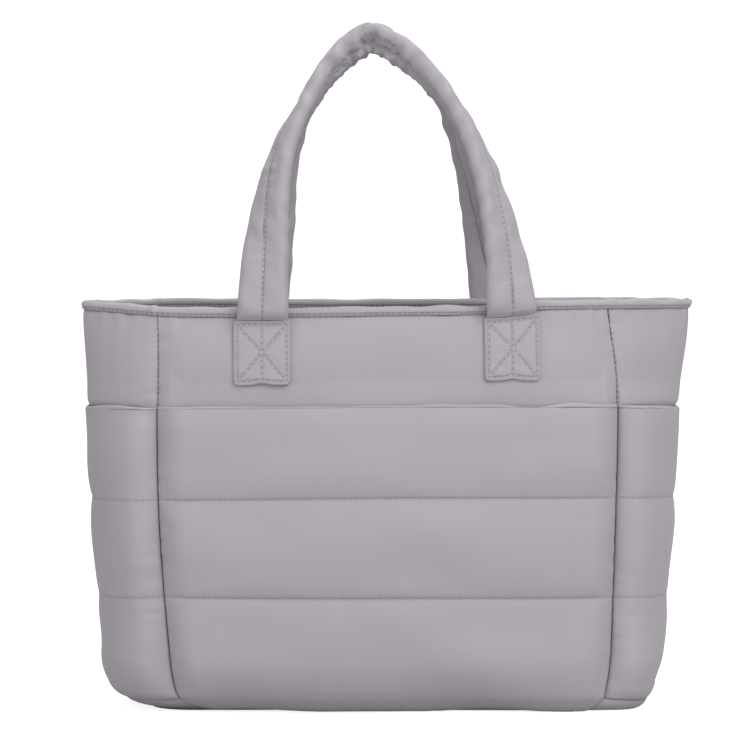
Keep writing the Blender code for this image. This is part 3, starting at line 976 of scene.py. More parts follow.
@dataclass
class QuiltedLayer:
    """One padded layer over a panel of the skin, from its foot to its top edge."""

    panel: Panel
    padding: Padding
    softness: Softness
    outer: Offset
    inner: Offset
    columns: int
    rows: Rows
    lip: float = 0.0
    lip_rows: int = 8
    lip_wave: float = 0.0008
    lip_wave_length: float = 0.075
    lip_power: int = 12
    lip_inside: float = 0.0015
    foot_roll: float = 0.0012
    ratio: int = 4
    edge_crowding: float = 0.7
    seam_lift: float = 0.8
    line_ends: float = 0.006

    def places(self, columns: int) -> Array:
        """One row of places across the panel, with a row axis in front."""
        return (self.panel + np.minimum(crowded(columns, self.edge_crowding), SAME_PANEL))[None, :]

    def face(self, place: Array, z: Array) -> Array:
        """The layer's outer face, with its unevenness and its rolled foot.

        Args:
            place: Places round the loop.
            z: The heights.

        Returns:
            The outward offset in metres.
        """
        skin = self.padding.skin
        rolled = np.arccos(np.clip(1 - (z - skin.base_rise) / skin.base_radius, -1, 1))
        above = (rolled - self.rows.start(place)) * skin.base_radius
        short = np.clip(1 - above / self.foot_roll, 0, 1)
        foot = self.foot_roll * (1 - np.sqrt(1 - short**2)) * (z < skin.base_rise + skin.base_radius)
        return self.outer(place, z) + self.softness.at(self.padding, place, z) - foot

    def nudges(self, shape: tuple[int, ...]) -> Array:
        """Half a seam's gap at each side of the panel.

        Args:
            shape: The grid's rows and columns.

        Returns:
            How far each point moves along the loop.
        """
        made = np.zeros(shape)
        made[:, 0] = self.padding.skin.seam_gap / 2
        made[:, -1] = -self.padding.skin.seam_gap / 2
        return made

    def sewing(self, place: Array, z: Array) -> tuple[Array, Array]:
        """What the finish reads about the seams, where it paints a shade line and dimples.

        Args:
            place: Places round the loop.
            z: The heights.

        Returns:
            The distance to the nearest seam, and the metres along it.
        """
        skin = self.padding.skin
        beside = skin.seam_distance(place, z)
        level = np.min([np.abs(z - s) for s in self.padding.channel_heights()], axis=0)
        if self.lip == 0:
            level = np.minimum(level, np.maximum(skin.wall_top(place) - z, 0))
            if self.panel == Panel.BACK:
                level = np.minimum(level, np.abs(z - skin.pocket_height))
        return np.minimum(beside, level), np.where(beside < level, z, cloth_run(skin, place, z))

    def outer_grid(self) -> Cloth:
        """The outer face, with the turned lip of a slip pocket above it.

        Returns:
            The grid.
        """
        skin = self.padding.skin
        place = self.places(self.columns)
        z = self.rows.heights(self.padding, place)
        if self.lip > 0:
            top = z[-1]
            z = np.minimum(z, top - self.lip * (z / top) ** self.lip_power)
        place = np.broadcast_to(place, z.shape)
        points = skin.offset(place, z, self.face(place, z), self.nudges(z.shape))
        if self.lip == 0:
            points[-1, :, 2] = z[-1]
            sewn, run = self.sewing(place, z)
            return Cloth(points, sewn, run)
        along = cloth_run(skin, place[-1], z[-1])
        waves = Unevenness(self.softness.seed + 7, self.lip_wave_length, self.lip_wave_length)
        rise = self.lip_wave * waves.at(along, along)
        outside, inside = self.face(place[-1], z[-1]), self.inner(place[-1], z[-1])
        turn = np.linspace(0, math.pi, self.lip_rows + 1)[1:, None]
        lip_z = z[-1] + (self.lip + rise) * np.sin(turn)
        lip_out = inside + (outside - inside) * (0.5 + 0.5 * np.cos(turn))
        lip_place = np.broadcast_to(place[-1], lip_z.shape)
        lip_base = np.broadcast_to(z[-1], lip_z.shape)
        lip_points = skin.offset(lip_place, lip_base, lip_out, self.nudges(lip_z.shape))
        lip_points[..., 2] += lip_z - lip_base
        sewn, run = self.sewing(np.concatenate([place, lip_place]), np.concatenate([z, lip_z]))
        return Cloth(np.concatenate([points, lip_points]), sewn, run)

    def inner_grid(self, outer_rows: int) -> Cloth:
        """The coarser inner face.

        Args:
            outer_rows: How many steps of rows the outer face has.

        Returns:
            The grid.
        """
        skin = self.padding.skin
        fine = self.rows.heights(self.padding, self.places(self.columns)[:, :: self.ratio])
        if self.lip > 0:
            drop = (self.lip + self.lip_inside) * (fine / fine[-1]) ** self.lip_power
            fine = np.minimum(fine, fine[-1] - drop)
        steps = outer_rows // self.ratio
        at = np.linspace(0, len(fine) - 1, steps + 1)
        low = np.minimum(at.astype(int), len(fine) - 2)
        z = fine[low] + (fine[low + 1] - fine[low]) * (at - low)[:, None]
        place = np.broadcast_to(self.places(self.columns)[:, :: self.ratio], z.shape)
        points = skin.offset(place, z, self.inner(place, z), self.nudges(z.shape))
        if self.lip == 0:
            points[-1, :, 2] = z[-1]
        sewn, run = self.sewing(place, z)
        return Cloth(points, sewn, run)

    def build(self, name: str, material: bpy.types.Material, fill: float) -> bpy.types.Object:
        """Makes the layer's piece in place of its CAD node.

        Args:
            name: The CAD node's name.
            material: The cloth's finish.
            fill: Not used.

        Returns:
            The piece.
        """
        outer = self.outer_grid()
        body = Body.empty()
        body.slab(outer, self.inner_grid(len(outer.points) - 1))
        piece = body.piece("cloth_" + name, material, Slot.SHELL)
        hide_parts(name)
        return piece

    def level_line(self, z: float, step: float = 0.001) -> tuple[Array, Array]:
        """Points and normals along a level seam of the outer face.

        Args:
            z: The seam's height.
            step: Roughly how far apart the points are.

        Returns:
            The points and the outward normals.
        """
        skin = self.padding.skin
        count = int(2 * float(skin.seam_distance(np.array(self.panel + 0.5), np.array(z))) / step)
        place = self.panel + np.linspace(self.line_ends, 1 - self.line_ends, count)
        height = np.full(count, z)
        return skin.offset(place, height, self.face(place, height)), skin.directions(place, height)[1]

    def upright_line(
        self, share: float, low: float, high: float, step: float = 0.001
    ) -> tuple[Array, Array]:
        """Points and normals up a side seam of the outer face.

        Args:
            share: The share of the panel where the seam is.
            low: Where the line begins.
            high: Where it ends.
            step: Roughly how far apart the points are.

        Returns:
            The points and the outward normals.
        """
        z = np.linspace(low, high, int((high - low) / step))
        place = np.full(len(z), self.panel + share)
        lift = self.softness.roll * self.seam_lift
        points = self.padding.skin.offset(place, z, self.face(place, z) + lift)
        return points, self.padding.skin.directions(place, z)[1]


@dataclass(frozen=True)
class Thread:
    """The sewing thread and how its stitches lie."""

    pitch: float = 0.0040
    length: float = 0.0029
    radius: float = 0.00034
    slant: float = 0.12
    sides: int = 6
    along: tuple[float, ...] = (-1.0, -0.72, -0.25, 0.25, 0.72, 1.0)
    girth: tuple[float, ...] = (0.25, 0.85, 1.0, 1.0, 0.85, 0.25)
    sink: float = 0.00045
    step: float = 0.001

    def sew(self, body: Body, points: Array, normals: Array, lift: float = 0.00012) -> None:
        """Adds a row of stitches along a line.

        Args:
            body: The piece that takes the stitches.
            points: Points along the line.
            normals: The cloth's outward normal at each point.
            lift: How far the thread stands off the cloth.
        """
        steps = np.linalg.norm(np.diff(points, axis=0), axis=1)
        walked = np.concatenate([[0], np.cumsum(steps)])
        count = int(walked[-1] / self.pitch)
        if count < 1:
            return
        at = (np.arange(count) + 0.5) * walked[-1] / count
        centre, normal = along_line(walked, points, at), unit(along_line(walked, normals, at))
        after = along_line(walked, points, np.minimum(at + self.step, walked[-1]))
        before = along_line(walked, points, np.maximum(at - self.step, 0))
        tangent = unit(after - before)
        side = unit(np.cross(tangent, normal))
        lean = self.slant * np.where(np.arange(count) % 2 == 0, 1.0, -1.0)[:, None]
        tangent = unit(tangent + side * lean)
        side = unit(np.cross(tangent, normal))
        rings = []
        for t, girth in zip(self.along, self.girth):
            spine = centre + tangent * (t * self.length / 2) + normal * (lift - self.sink * t**4)
            for k in range(self.sides):
                turn = TURN * k / self.sides
                reach = self.radius * girth
                rings.append(spine + side * (reach * math.cos(turn)) + normal * (reach * math.sin(turn)))
        made = np.stack(rings, axis=1)
        first = body.count()
        size = made.shape[1]
        flat = made.reshape(-1, 3)
        body.points.append(flat)
        body.flat.append(flat[:, :2])
        body.sewn.append(np.ones(len(flat)))
        body.run.append(np.zeros(len(flat)))
        pattern = self.faces()
        for n in range(count):
            start = first + n * size
            body.faces += [[start + v for v in face] for face in pattern]

    def faces(self) -> list[list[int]]:
        """The faces of one stitch.

        Returns:
            The point numbers of each face, counted from the stitch's first point.
        """
        last = (len(self.along) - 1) * self.sides
        made = []
        for ring in range(0, last, self.sides):
            for k in range(self.sides):
                after = (k + 1) % self.sides
                made.append([ring + k, ring + self.sides + k, ring + self.sides + after, ring + after])
        made.append(list(range(self.sides)))
        made.append(list(range(last + self.sides - 1, last - 1, -1)))
        return made


@dataclass
class BagShell:
    """The body panels, the slip pockets and the seams that join them."""

    padding: Padding = Padding()
    thread: Thread = Thread()
    face_columns: int = 176
    gusset_columns: int = 96
    hidden: Rows = Rows(4, (4, 4, 4, 48))
    shown: Rows = Rows(12, (36, 36, 36, 44))
    pocket: Rows = Rows(12, (36, 36, 36))
    lip: float = 0.0020
    fill: float = 0.45
    wall_seed: int = 20
    pocket_seed: int = 70
    seed_step: int = 10
    thread_ends: float = 0.001

    def columns(self, panel: Panel) -> int:
        """How many mesh columns a panel has."""
        return self.face_columns if panel in (Panel.FRONT, Panel.BACK) else self.gusset_columns

    def wall(self, panel: Panel) -> QuiltedLayer:
        """A body panel's layer.

        Args:
            panel: Which panel.

        Returns:
            The layer.
        """
        return QuiltedLayer(
            panel,
            self.padding,
            Softness(seed=self.wall_seed + self.seed_step * panel),
            self.padding.wall_outer,
            self.padding.wall_inner,
            self.columns(panel),
            self.shown if panel == Panel.BACK else self.hidden,
        )

    def slip_pocket(self, panel: Panel) -> QuiltedLayer:
        """A slip pocket's layer.

        Args:
            panel: Which panel the pocket lies on.

        Returns:
            The layer.
        """
        return QuiltedLayer(
            panel,
            self.padding,
            Softness(seed=self.pocket_seed + self.seed_step * panel),
            self.padding.pocket_outer,
            self.padding.slot_room,
            self.columns(panel),
            self.pocket,
            lip=self.lip,
        )

    def build(self, cloth: bpy.types.Material, thread: bpy.types.Material) -> None:
        """Makes the walls, the slip pockets and their seams.

        Args:
            cloth: The shell's finish.
            thread: The thread's finish.
        """
        walls = {panel: self.wall(panel) for panel in Panel}
        names = ("front_panel", "gusset_right", "back_panel", "gusset_left")
        for panel, name in zip(Panel, names):
            walls[panel].build(name, cloth, self.fill)
        pockets = {
            Panel.FRONT: "front_pocket",
            Panel.RIGHT: "side_pocket_right",
            Panel.LEFT: "side_pocket_left",
        }
        seams = Body.empty()
        low, high = self.padding.channel_heights()
        for panel, name in pockets.items():
            layer = self.slip_pocket(panel)
            layer.build(name, cloth, self.fill)
            for z in (low, high):
                self.thread.sew(seams, *layer.level_line(z))
        for z in (low, high, self.padding.skin.pocket_height):
            self.thread.sew(seams, *walls[Panel.BACK].level_line(z))
        for panel in Panel:
            corner = float(self.padding.skin.wall_top(np.array(float(panel))))
            start = self.padding.skin.pocket_height + self.thread_ends
            self.thread.sew(seams, *walls[panel].upright_line(0.0, start, corner - self.thread_ends))
        seams.piece("stitches_shell", thread, Slot.SHELL)


@dataclass
class RimHem:
    """The turned and stitched hem round the mouth."""

    skin: Skin = Skin()
    thread: Thread = Thread()
    outward: float = 0.0019
    inward: float = 0.0056
    laps: int = 242
    face_columns: int = 176
    gusset_columns: int = 80
    around: int = 32
    groove_height: float = 0.20
    groove_depth: float = 0.0009
    groove_width: float = 0.10
    scallop: float = 0.00022
    scallop_reach: float = 0.22
    inner_face: float = -0.004
    row_out: float = 0.72
    row_sink: float = 0.3
    crowding: float = 0.4
    seed: int = 5
    wave_length: float = 0.16
    wave: float = 0.00030
    profile: tuple[tuple[float, float], ...] = (
        (-0.90, 0.00),
        (0.55, 0.00),
        (1.00, 0.35),
        (0.85, 0.80),
        (-0.05, 1.00),
        (-0.70, 1.00),
        (-1.00, 0.75),
        (-1.00, 0.25),
    )

    def section(self) -> Array:
        """The hem's closed cross-section.

        Returns:
            For each point, metres out and a share of the hem's height.
        """
        corners = [(out * (self.outward if out > 0 else self.inward), up) for out, up in self.profile]
        corners = np.array(corners)
        count = len(corners)
        made = []
        for step in range(self.around + 1):
            at = count * step / self.around
            k = int(at) % count
            t = at - int(at)
            a, b, c, d = (corners[(k + n) % count] for n in (-1, 0, 1, 2))
            square = (2 * a - 5 * b + 4 * c - d) * t**2
            cube = (3 * b - a - 3 * c + d) * t**3
            made.append(0.5 * (2 * b + (c - a) * t + square + cube))
        return np.array(made)

    def point(self, place: Array, out: Array, up: Array) -> Array:
        """Points of the hem.

        Args:
            place: Places round the loop.
            out: Metres out of the skin.
            up: Shares of the hem's height.

        Returns:
            The points.
        """
        place, out, up = np.broadcast_arrays(place, out, up)
        along = self.skin.directions(place, np.full(place.shape, self.skin.rim_height))[0]
        z = self.skin.wall_top(place) + self.skin.seam_gap + up * self.skin.hem_height
        points = self.skin.point(place, np.minimum(z, self.skin.rim_height))
        points = points + level_out(along) * out[..., None]
        points[..., 2] = z
        return points

    def build(self, cloth: bpy.types.Material, thread: bpy.types.Material) -> None:
        """Makes the hem and its two rows of stitches.

        Args:
            cloth: The hem's finish.
            thread: The thread's finish.
        """
        section = self.section()
        place = loop_places(self.face_columns, self.gusset_columns, self.crowding)
        around = TURN * place / 4
        out = section[:, :1] + np.zeros_like(place)
        up = section[:, 1:] + np.zeros_like(place)
        waves = Unevenness(self.seed, self.wave_length, self.wave_length)
        wave = waves.at(np.cos(around), np.sin(around)) * self.wave
        groove = self.groove_depth * bell(up - self.groove_height, self.groove_width)
        lap = np.abs(np.sin(around * self.laps / 2))
        groove = groove + self.scallop * lap * bell(up, self.scallop_reach)
        out = out + np.where(out > 0, wave - groove, groove * (section[:, :1] < self.inner_face))
        up = up + (up > 0.5) * wave[None, :] / self.skin.hem_height
        points = self.point(place[None, :], out, up)
        walked = np.concatenate([[0], np.cumsum(np.linalg.norm(np.diff(points[0], axis=0), axis=1))])
        # The hem's finish paints a dark shade line along the stitched groove from this distance.
        sewn = np.abs(up - self.groove_height) * self.skin.hem_height
        body = Body.empty()
        numbers = body.add(Cloth(points, sewn, np.broadcast_to(walked, sewn.shape)))
        body.cover(numbers)
        piece = body.piece("cloth_rim_hem", cloth, Slot.SHELL)
        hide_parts("rim_hem")
        stitches = Body.empty()
        outer_row = self.outward * self.row_out - self.groove_depth * self.row_sink
        along = self.skin.directions(place, np.full_like(place, self.skin.rim_height))[0]
        for out_at, facing in ((outer_row, 1.0), (-self.inward, -1.0)):
            line = self.point(place, np.full_like(place, out_at), np.full_like(place, self.groove_height))
            self.thread.sew(stitches, line, level_out(along) * facing)
        stitches.piece("stitches_rim_hem", thread, Slot.SHELL)


@dataclass
class Base:
    """The padded base, turned up at its ends to meet the gussets."""

    padding: Padding = Padding()
    rows: Rows = Rows(1, (1, 1, 1))
    thickness: float = 0.005
    inset: float = 0.003
    middle_share: float = 0.75
    face_columns: int = 120
    gusset_columns: int = 72
    roll_rows: int = 6
    flat_rows: int = 6
    crowding: float = 0.5
    roll_off: float = 0.8
    roll_power: int = 8
    panel_run: float = 0.25

    def middle(self, points: Array, z: float) -> Array:
        """The base's long middle line under or over some points."""
        made = points * np.array([self.middle_share, 0, 0])
        return made + np.array([0, self.padding.skin.shift, z])

    def build(self, cloth: bpy.types.Material) -> None:
        """Makes the base.

        Args:
            cloth: The base's finish.
        """
        skin = self.padding.skin
        place = loop_places(self.face_columns, self.gusset_columns, self.crowding)
        start = self.rows.start(place)
        edge_z = skin.base_rise + skin.base_radius * (1 - np.cos(start))
        along, outward = skin.directions(place, edge_z)
        edge = skin.point(place, edge_z) + unit(np.cross(along, outward)) * skin.seam_gap
        back = np.floor(place) == Panel.BACK
        cover = self.padding.layer_gap + np.where(back, 0.0, self.padding.pocket_wall)
        rings = []
        flat = skin.point(place, np.full_like(place, skin.base_rise))
        middle = self.middle(flat, 0.0)
        pulled = flat * np.array([1, 1, 0]) + unit(middle - flat * np.array([1, 1, 0])) * self.inset
        for share in np.linspace(0, 1, self.flat_rows + 1):
            rings.append(middle + (pulled - middle) * share)
        for share in np.linspace(0, 1, self.roll_rows + 1):
            z = skin.base_rise + skin.base_radius * (1 - np.cos(start * share))
            roll = skin.directions(place, z)[1]
            thinned = math.sqrt(max(0.0, 1 - self.roll_off * share**self.roll_power))
            spot = skin.point(place, z) + roll * (cover * thinned)[:, None]
            spot[:, 2] = np.maximum(spot[:, 2], FLOOR_GAP)
            rings.append(spot)
        rings.append(edge)
        inner = edge - outward * self.padding.wall
        rings.append(inner)
        top_middle = self.middle(inner, self.thickness)
        floor_edge = inner * np.array([1, 1, 0]) + np.array([0, 0, self.thickness])
        floor_edge = floor_edge + unit(top_middle - floor_edge) * self.inset
        for share in np.linspace(0, 1, self.flat_rows + 1):
            rings.append(floor_edge + (top_middle - floor_edge) * share)
        points = np.stack(rings)
        # The base's finish paints a shade line along its sewn edge from this distance.
        sewn = np.linalg.norm(points - edge[None], axis=2)
        run = np.broadcast_to(place * self.panel_run, sewn.shape)
        body = Body.empty()
        body.cover(body.add(Cloth(points, sewn, run, points[..., :2])))
        piece = body.piece("cloth_base_panel", cloth, Slot.BASE)
        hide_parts("base_panel")


@dataclass(frozen=True)
class StrapSide:
    """Where one handle and its two tabs sit, and how it leans."""

    side: Panel
    name: str
    spacing: float
    offset: float
    rise: float = 0.2005
    drop: float = 0.0
    pinch: float = 0.0
    sway: float = 0.0
    skin: Skin = Skin()
    tab_below_hem: float = 0.0027

    def tab_x(self, hand: int) -> float:
        """The x of a tab's middle: hand is -1 for the left tab and 1 for the right one."""
        return self.offset + hand * self.spacing / 2

    def tab_top(self, x: Array) -> Array:
        """The height of a tab's top edge, just under the hem."""
        height = np.full(np.shape(x), self.skin.rim_height)
        return self.skin.wall_top(self.skin.wall_place(self.side, x, height)) - self.tab_below_hem


@dataclass
class Tab:
    """A flat strap end, sewn on the wall under the hem with a box and a cross."""

    where: StrapSide
    hand: int
    padding: Padding = Padding()
    thread: Thread = Thread()
    width: float = 0.040
    height: float = 0.045
    thickness: float = 0.0033
    seat: float = 0.0006
    columns: int = 72
    rows: int = 80
    corner: float = 0.0040
    bow: float = 0.0014
    edge: float = 0.0016
    stitch_inset: float = 0.0028
    groove_depth: float = 0.00050
    groove_width: float = 0.0009
    puff: float = 0.00045
    puff_reach: float = 0.006
    edge_reach: float = 0.004
    edge_share: float = 0.35
    join: float = 0.0016
    join_reach: float = 0.005
    bow_reach: float = 0.28
    ripple: float = 0.00018
    ripple_length: float = 0.012
    seed: int = 91
    crowding: float = 0.35
    coarse: int = 4
    line_step: float = 0.001
    stitch_lift: float = 0.0002

    def spot(self, u: Array, v: Array) -> tuple[Array, Array]:
        """The x and height of places on the tab.

        Args:
            u: From -1 at the left edge to 1 at the right edge.
            v: From 0 at the bottom edge to 1 at the top edge.

        Returns:
            The x and the heights.
        """
        x = self.where.tab_x(self.hand)
        foot = self.where.tab_top(np.array(x)) - self.height
        at = x + self.width / 2 * u
        top = self.where.tab_top(at)
        bowed = foot + self.bow * bell(u, self.bow_reach)
        above = v * self.height
        short = np.clip(self.corner - above, 0, self.corner)
        narrow = (self.corner - np.sqrt(self.corner**2 - short**2)) / (self.width / 2)
        return x + self.width / 2 * u * (1 - narrow), bowed + (top - bowed) * v

    def lines(self) -> list[tuple[tuple[float, float], tuple[float, float]]]:
        """The stitched lines: a box, a cross and the middle row.

        Returns:
            Each line's two ends, in metres from the middle of the bottom edge.
        """
        side = self.width / 2 - self.stitch_inset
        low, high = self.stitch_inset, self.height - self.stitch_inset
        corners = [(-side, low), (side, low), (side, high), (-side, high)]
        made = [(corners[k], corners[(k + 1) % 4]) for k in range(4)]
        return made + [(corners[0], corners[2]), (corners[1], corners[3]), ((0.0, low), (0.0, high))]

    def nearest(self, u: Array, v: Array) -> Array:
        """How far places on the tab are from its stitches.

        Args:
            u: From -1 at the left edge to 1 at the right edge.
            v: From 0 at the bottom edge to 1 at the top edge.

        Returns:
            Metres to the nearest stitched line.
        """
        a, b = u * self.width / 2, v * self.height
        made = np.full(np.shape(a), 1.0)
        for (ax, ay), (bx, by) in self.lines():
            length = math.hypot(bx - ax, by - ay)
            t = np.clip(((a - ax) * (bx - ax) + (b - ay) * (by - ay)) / length**2, 0, 1)
            made = np.minimum(made, np.hypot(a - ax - t * (bx - ax), b - ay - t * (by - ay)))
        return made

    def surface(self, u: Array, v: Array, out: Array) -> Array:
        """Points over the wall behind the tab.

        Args:
            u: From -1 at the left edge to 1 at the right edge.
            v: From 0 at the bottom edge to 1 at the top edge.
            out: How far out each point stands.

        Returns:
            The points.
        """
        x, z = self.spot(u, v)
        place = self.where.skin.wall_place(self.where.side, x, z)
        return self.where.skin.offset(place, z, self.padding.wall_outer(place, z) + self.seat + out)

    def face(self, u: Array, v: Array) -> Array:
        """How far the tab's face stands out over its back.

        Args:
            u: From -1 at the left edge to 1 at the right edge.
            v: From 0 at the bottom edge to 1 at the top edge.

        Returns:
            The distance in metres.
        """
        beside = (1 - np.abs(u)) * self.width / 2
        level = v * self.height
        rounded = np.sqrt(1 - np.clip(1 - np.minimum(beside, level) / self.edge, 0, 1) ** 2)
        joined = self.join * np.clip(1 - (1 - v) * self.height / self.join_reach, 0, 1) ** 2
        near = self.nearest(u, v)
        inside = eased(np.minimum(beside, level), self.edge_reach)
        pillow = self.puff * eased(near, self.puff_reach) * inside
        groove = self.groove_depth * bell(near, self.groove_width)
        seed = self.seed + self.hand + 2 * self.where.side
        waves = Unevenness(seed, self.ripple_length, self.ripple_length)
        wave = self.ripple * waves.at(u * self.width / 2, v * self.height)
        full = self.thickness * (self.edge_share + (1 - self.edge_share) * rounded)
        return full + pillow + joined + (wave - groove) * rounded

    def build(self, cloth: bpy.types.Material, thread: bpy.types.Material) -> None:
        """Makes the tab and its stitches.

        Args:
            cloth: The strap's finish.
            thread: The thread's finish.
        """
        facing = 1 if self.where.side == Panel.FRONT else -1
        u = (2 * crowded(self.columns, self.crowding) - 1)[None, :] * facing
        v = crowded(self.rows, self.crowding)[:, None]
        u, v = np.broadcast_arrays(u, v)
        laid = np.stack([u * self.width / 2, v * self.height], axis=-1)
        near = self.nearest(u, v)
        # The strap finish paints a shade line along the stitched box and cross from this distance.
        outer = Cloth(self.surface(u, v, self.face(u, v)), near, laid[..., 1], laid)
        coarse = (slice(None, None, self.coarse), slice(None, None, self.coarse))
        back = self.surface(u[coarse], v[coarse], np.full(u[coarse].shape, 0.0))
        inner = Cloth(back, near[coarse], laid[coarse][..., 1], laid[coarse])
        body = Body.empty()
        body.slab(outer, inner)
        hand = "left" if self.hand < 0 else "right"
        name = f"tab_{self.where.name}_{hand}"
        piece = body.piece("cloth_" + name, cloth, Slot.STRAP)
        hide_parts(name)
        stitches = Body.empty()
        for (ax, ay), (bx, by) in self.lines():
            t = np.linspace(0, 1, int(math.hypot(bx - ax, by - ay) / self.line_step))
            at = (ax + (bx - ax) * t) / (self.width / 2), (ay + (by - ay) * t) / self.height
            line = self.surface(*at, self.face(*at) + self.stitch_lift)
            x, z = self.spot(*at)
            normals = self.where.skin.directions(self.where.skin.wall_place(self.where.side, x, z), z)[1]
            self.thread.sew(stitches, line, normals)
        stitches.piece("stitches_" + name, thread, Slot.STRAP)


@dataclass
class Handle:
    """A padded strap from tab to tab, gathered on the inside of its bend."""

    where: StrapSide
    padding: Padding = Padding()
    thread: Thread = Thread()
    width: float = 0.036
    thickness: float = 0.012
    groove: float = 0.66
    roundness: float = 2.6
    clearance: float = 0.0035
    hem_outward: float = 0.0014
    tab_seat: float = 0.0006
    tab_thickness: float = 0.0028
    foot_gap: float = 0.0006
    lean: float = 1.35
    spread: float = 0.029
    pinch_top: float = 0.85
    level_share: float = 0.25
    foot_share: float = 0.06
    fold_lift: float = 0.4
    fold_least: float = 0.14
    gather_pitch: float = 0.0112
    gather_depth: float = 0.0030
    gather_start: float = 0.30
    gather_full: float = 0.72
    stations: int = 420
    lobe_steps: int = 12
    stitch_lift: float = 0.0001
    stitch_sink: float = 0.0009
    wrinkle: float = 0.00040
    pucker: float = 0.00030
    tuck: float = 0.50
    tuck_fold: float = 0.24
    far_fold: float = 0.22
    near_fold: float = -0.08
    tuck_wave: float = 0.0014
    tuck_out: float = 0.0015
    gather_fine: float = 0.0007
    creases: tuple[tuple[float, float, float], ...] = ((-0.0115, -0.6, 0.0032), (-0.0010, 0.25, 0.0011))
    crease_width: float = 0.0013
    crease_shade_fade: float = 0.004
    seeds: tuple[int, int] = (140, 150)
    tangent_step: float = 0.15
    wrinkle_waves: tuple[float, float] = (0.034, 0.022)
    pucker_ripple: tuple[float, float] = (0.0085, 0.006)
    end_reach: float = 0.02
    high_start: float = 0.70
    high_reach: float = 0.2
    scallop_power: float = 0.8
    fine_pitch: float = 0.0075
    tuck_wave_length: float = 0.02
    ridge_share: float = 0.45
    stitch_ends: int = 4

    def foot(self, x: Array) -> Array:
        """The height where the padded strap begins, just clear of the tab's top edge.

        Args:
            x: Metres to the right.

        Returns:
            The heights.
        """
        top = self.where.tab_top(x)
        place = self.where.skin.wall_place(self.where.side, x, top)
        out = self.padding.wall_outer(place, top) + self.tab_seat + self.tab_thickness
        return self.where.skin.offset(place, top, out)[..., 2] + self.foot_gap

    def read(self, progress: Array) -> dict[str, Array]:
        """Every column of the strap's table.

        Args:
            progress: Places between the table's rows.

        Returns:
            The values under each column's name.
        """
        knots = np.arange(len(HANDLE_STATIONS))
        return {
            name: steady_curve(knots, [getattr(row, name) for row in HANDLE_STATIONS], progress)
            for name in Station._fields
        }

    def centre(self, progress: Array) -> tuple[Array, Array]:
        """The middle of the strap, and the direction that its face looks in before it turns.

        Args:
            progress: Places between the table's rows, counted from 0.

        Returns:
            The points and the unit directions.
        """
        where, read = self.where, self.read(progress)
        facing = -1.0 if where.side == Panel.FRONT else 1.0
        rise = where.rise - where.drop
        pinch = where.pinch * np.sin(math.pi * np.minimum(1.0, read["rise"] / self.pinch_top))
        left_x, right_x = where.tab_x(-1), where.tab_x(1)
        x = (left_x + right_x) / 2 + read["across"] * (1 - pinch) * (right_x - left_x) / 2
        x = x + where.sway * read["rise"]
        left_z, right_z = self.foot(np.array(left_x)), self.foot(np.array(right_x))
        foot_z = left_z + (right_z - left_z) * (1 + read["across"]) / 2
        foot = where.skin.wall_place(where.side, np.where(read["across"] > 0, right_x, left_x), foot_z)
        along = where.skin.directions(foot, foot_z)[0]
        face = np.stack([along[:, 1], -along[:, 0], np.zeros(len(x))], axis=-1)
        stand = self.hem_outward + self.clearance + self.thickness / 2
        foot_y = where.skin.point(foot, foot_z)[:, 1] + face[:, 1] * stand * read["stand"]
        apex_y = facing * self.spread / 2
        y = foot_y + (apex_y - foot_y) * read["rise"] ** self.lean
        level = np.array([0, facing, 0])
        blend = np.minimum(1.0, read["rise"] / self.level_share)[:, None]
        return np.stack([x, y, foot_z + rise * read["rise"]], axis=-1), unit(face + (level - face) * blend)

    def walk(self) -> tuple[Array, Array]:
        """Even steps along the strap.

        Returns:
            Their places in the table and the metres walked.
        """
        fine = np.linspace(0, len(HANDLE_STATIONS) - 1, 12 * (len(HANDLE_STATIONS) - 1) + 1)
        line = self.centre(fine)[0]
        walked = np.concatenate([[0], np.cumsum(np.linalg.norm(np.diff(line, axis=0), axis=1))])
        at = np.linspace(0, walked[-1], self.stations + 1)
        return steady_curve(walked, fine, at), at

    def across(self) -> tuple[Array, Array]:
        """The places round one ring of the strap.

        Returns:
            Shares across the strap, and 1 on its face or -1 on its underside.
        """
        lobe = 0.5 - 0.5 * np.cos(math.pi * np.linspace(0, 1, self.lobe_steps + 1))
        half = np.concatenate([lobe / 2, 0.5 + lobe[1:] / 2])
        over = np.concatenate([-half[::-1], half[1:]])
        under = over[::-1][1:-1]
        shares = np.concatenate([over, under, over[:1]])
        faces = np.concatenate([np.ones(len(over)), -np.ones(len(under)), [1.0]])
        return shares, faces

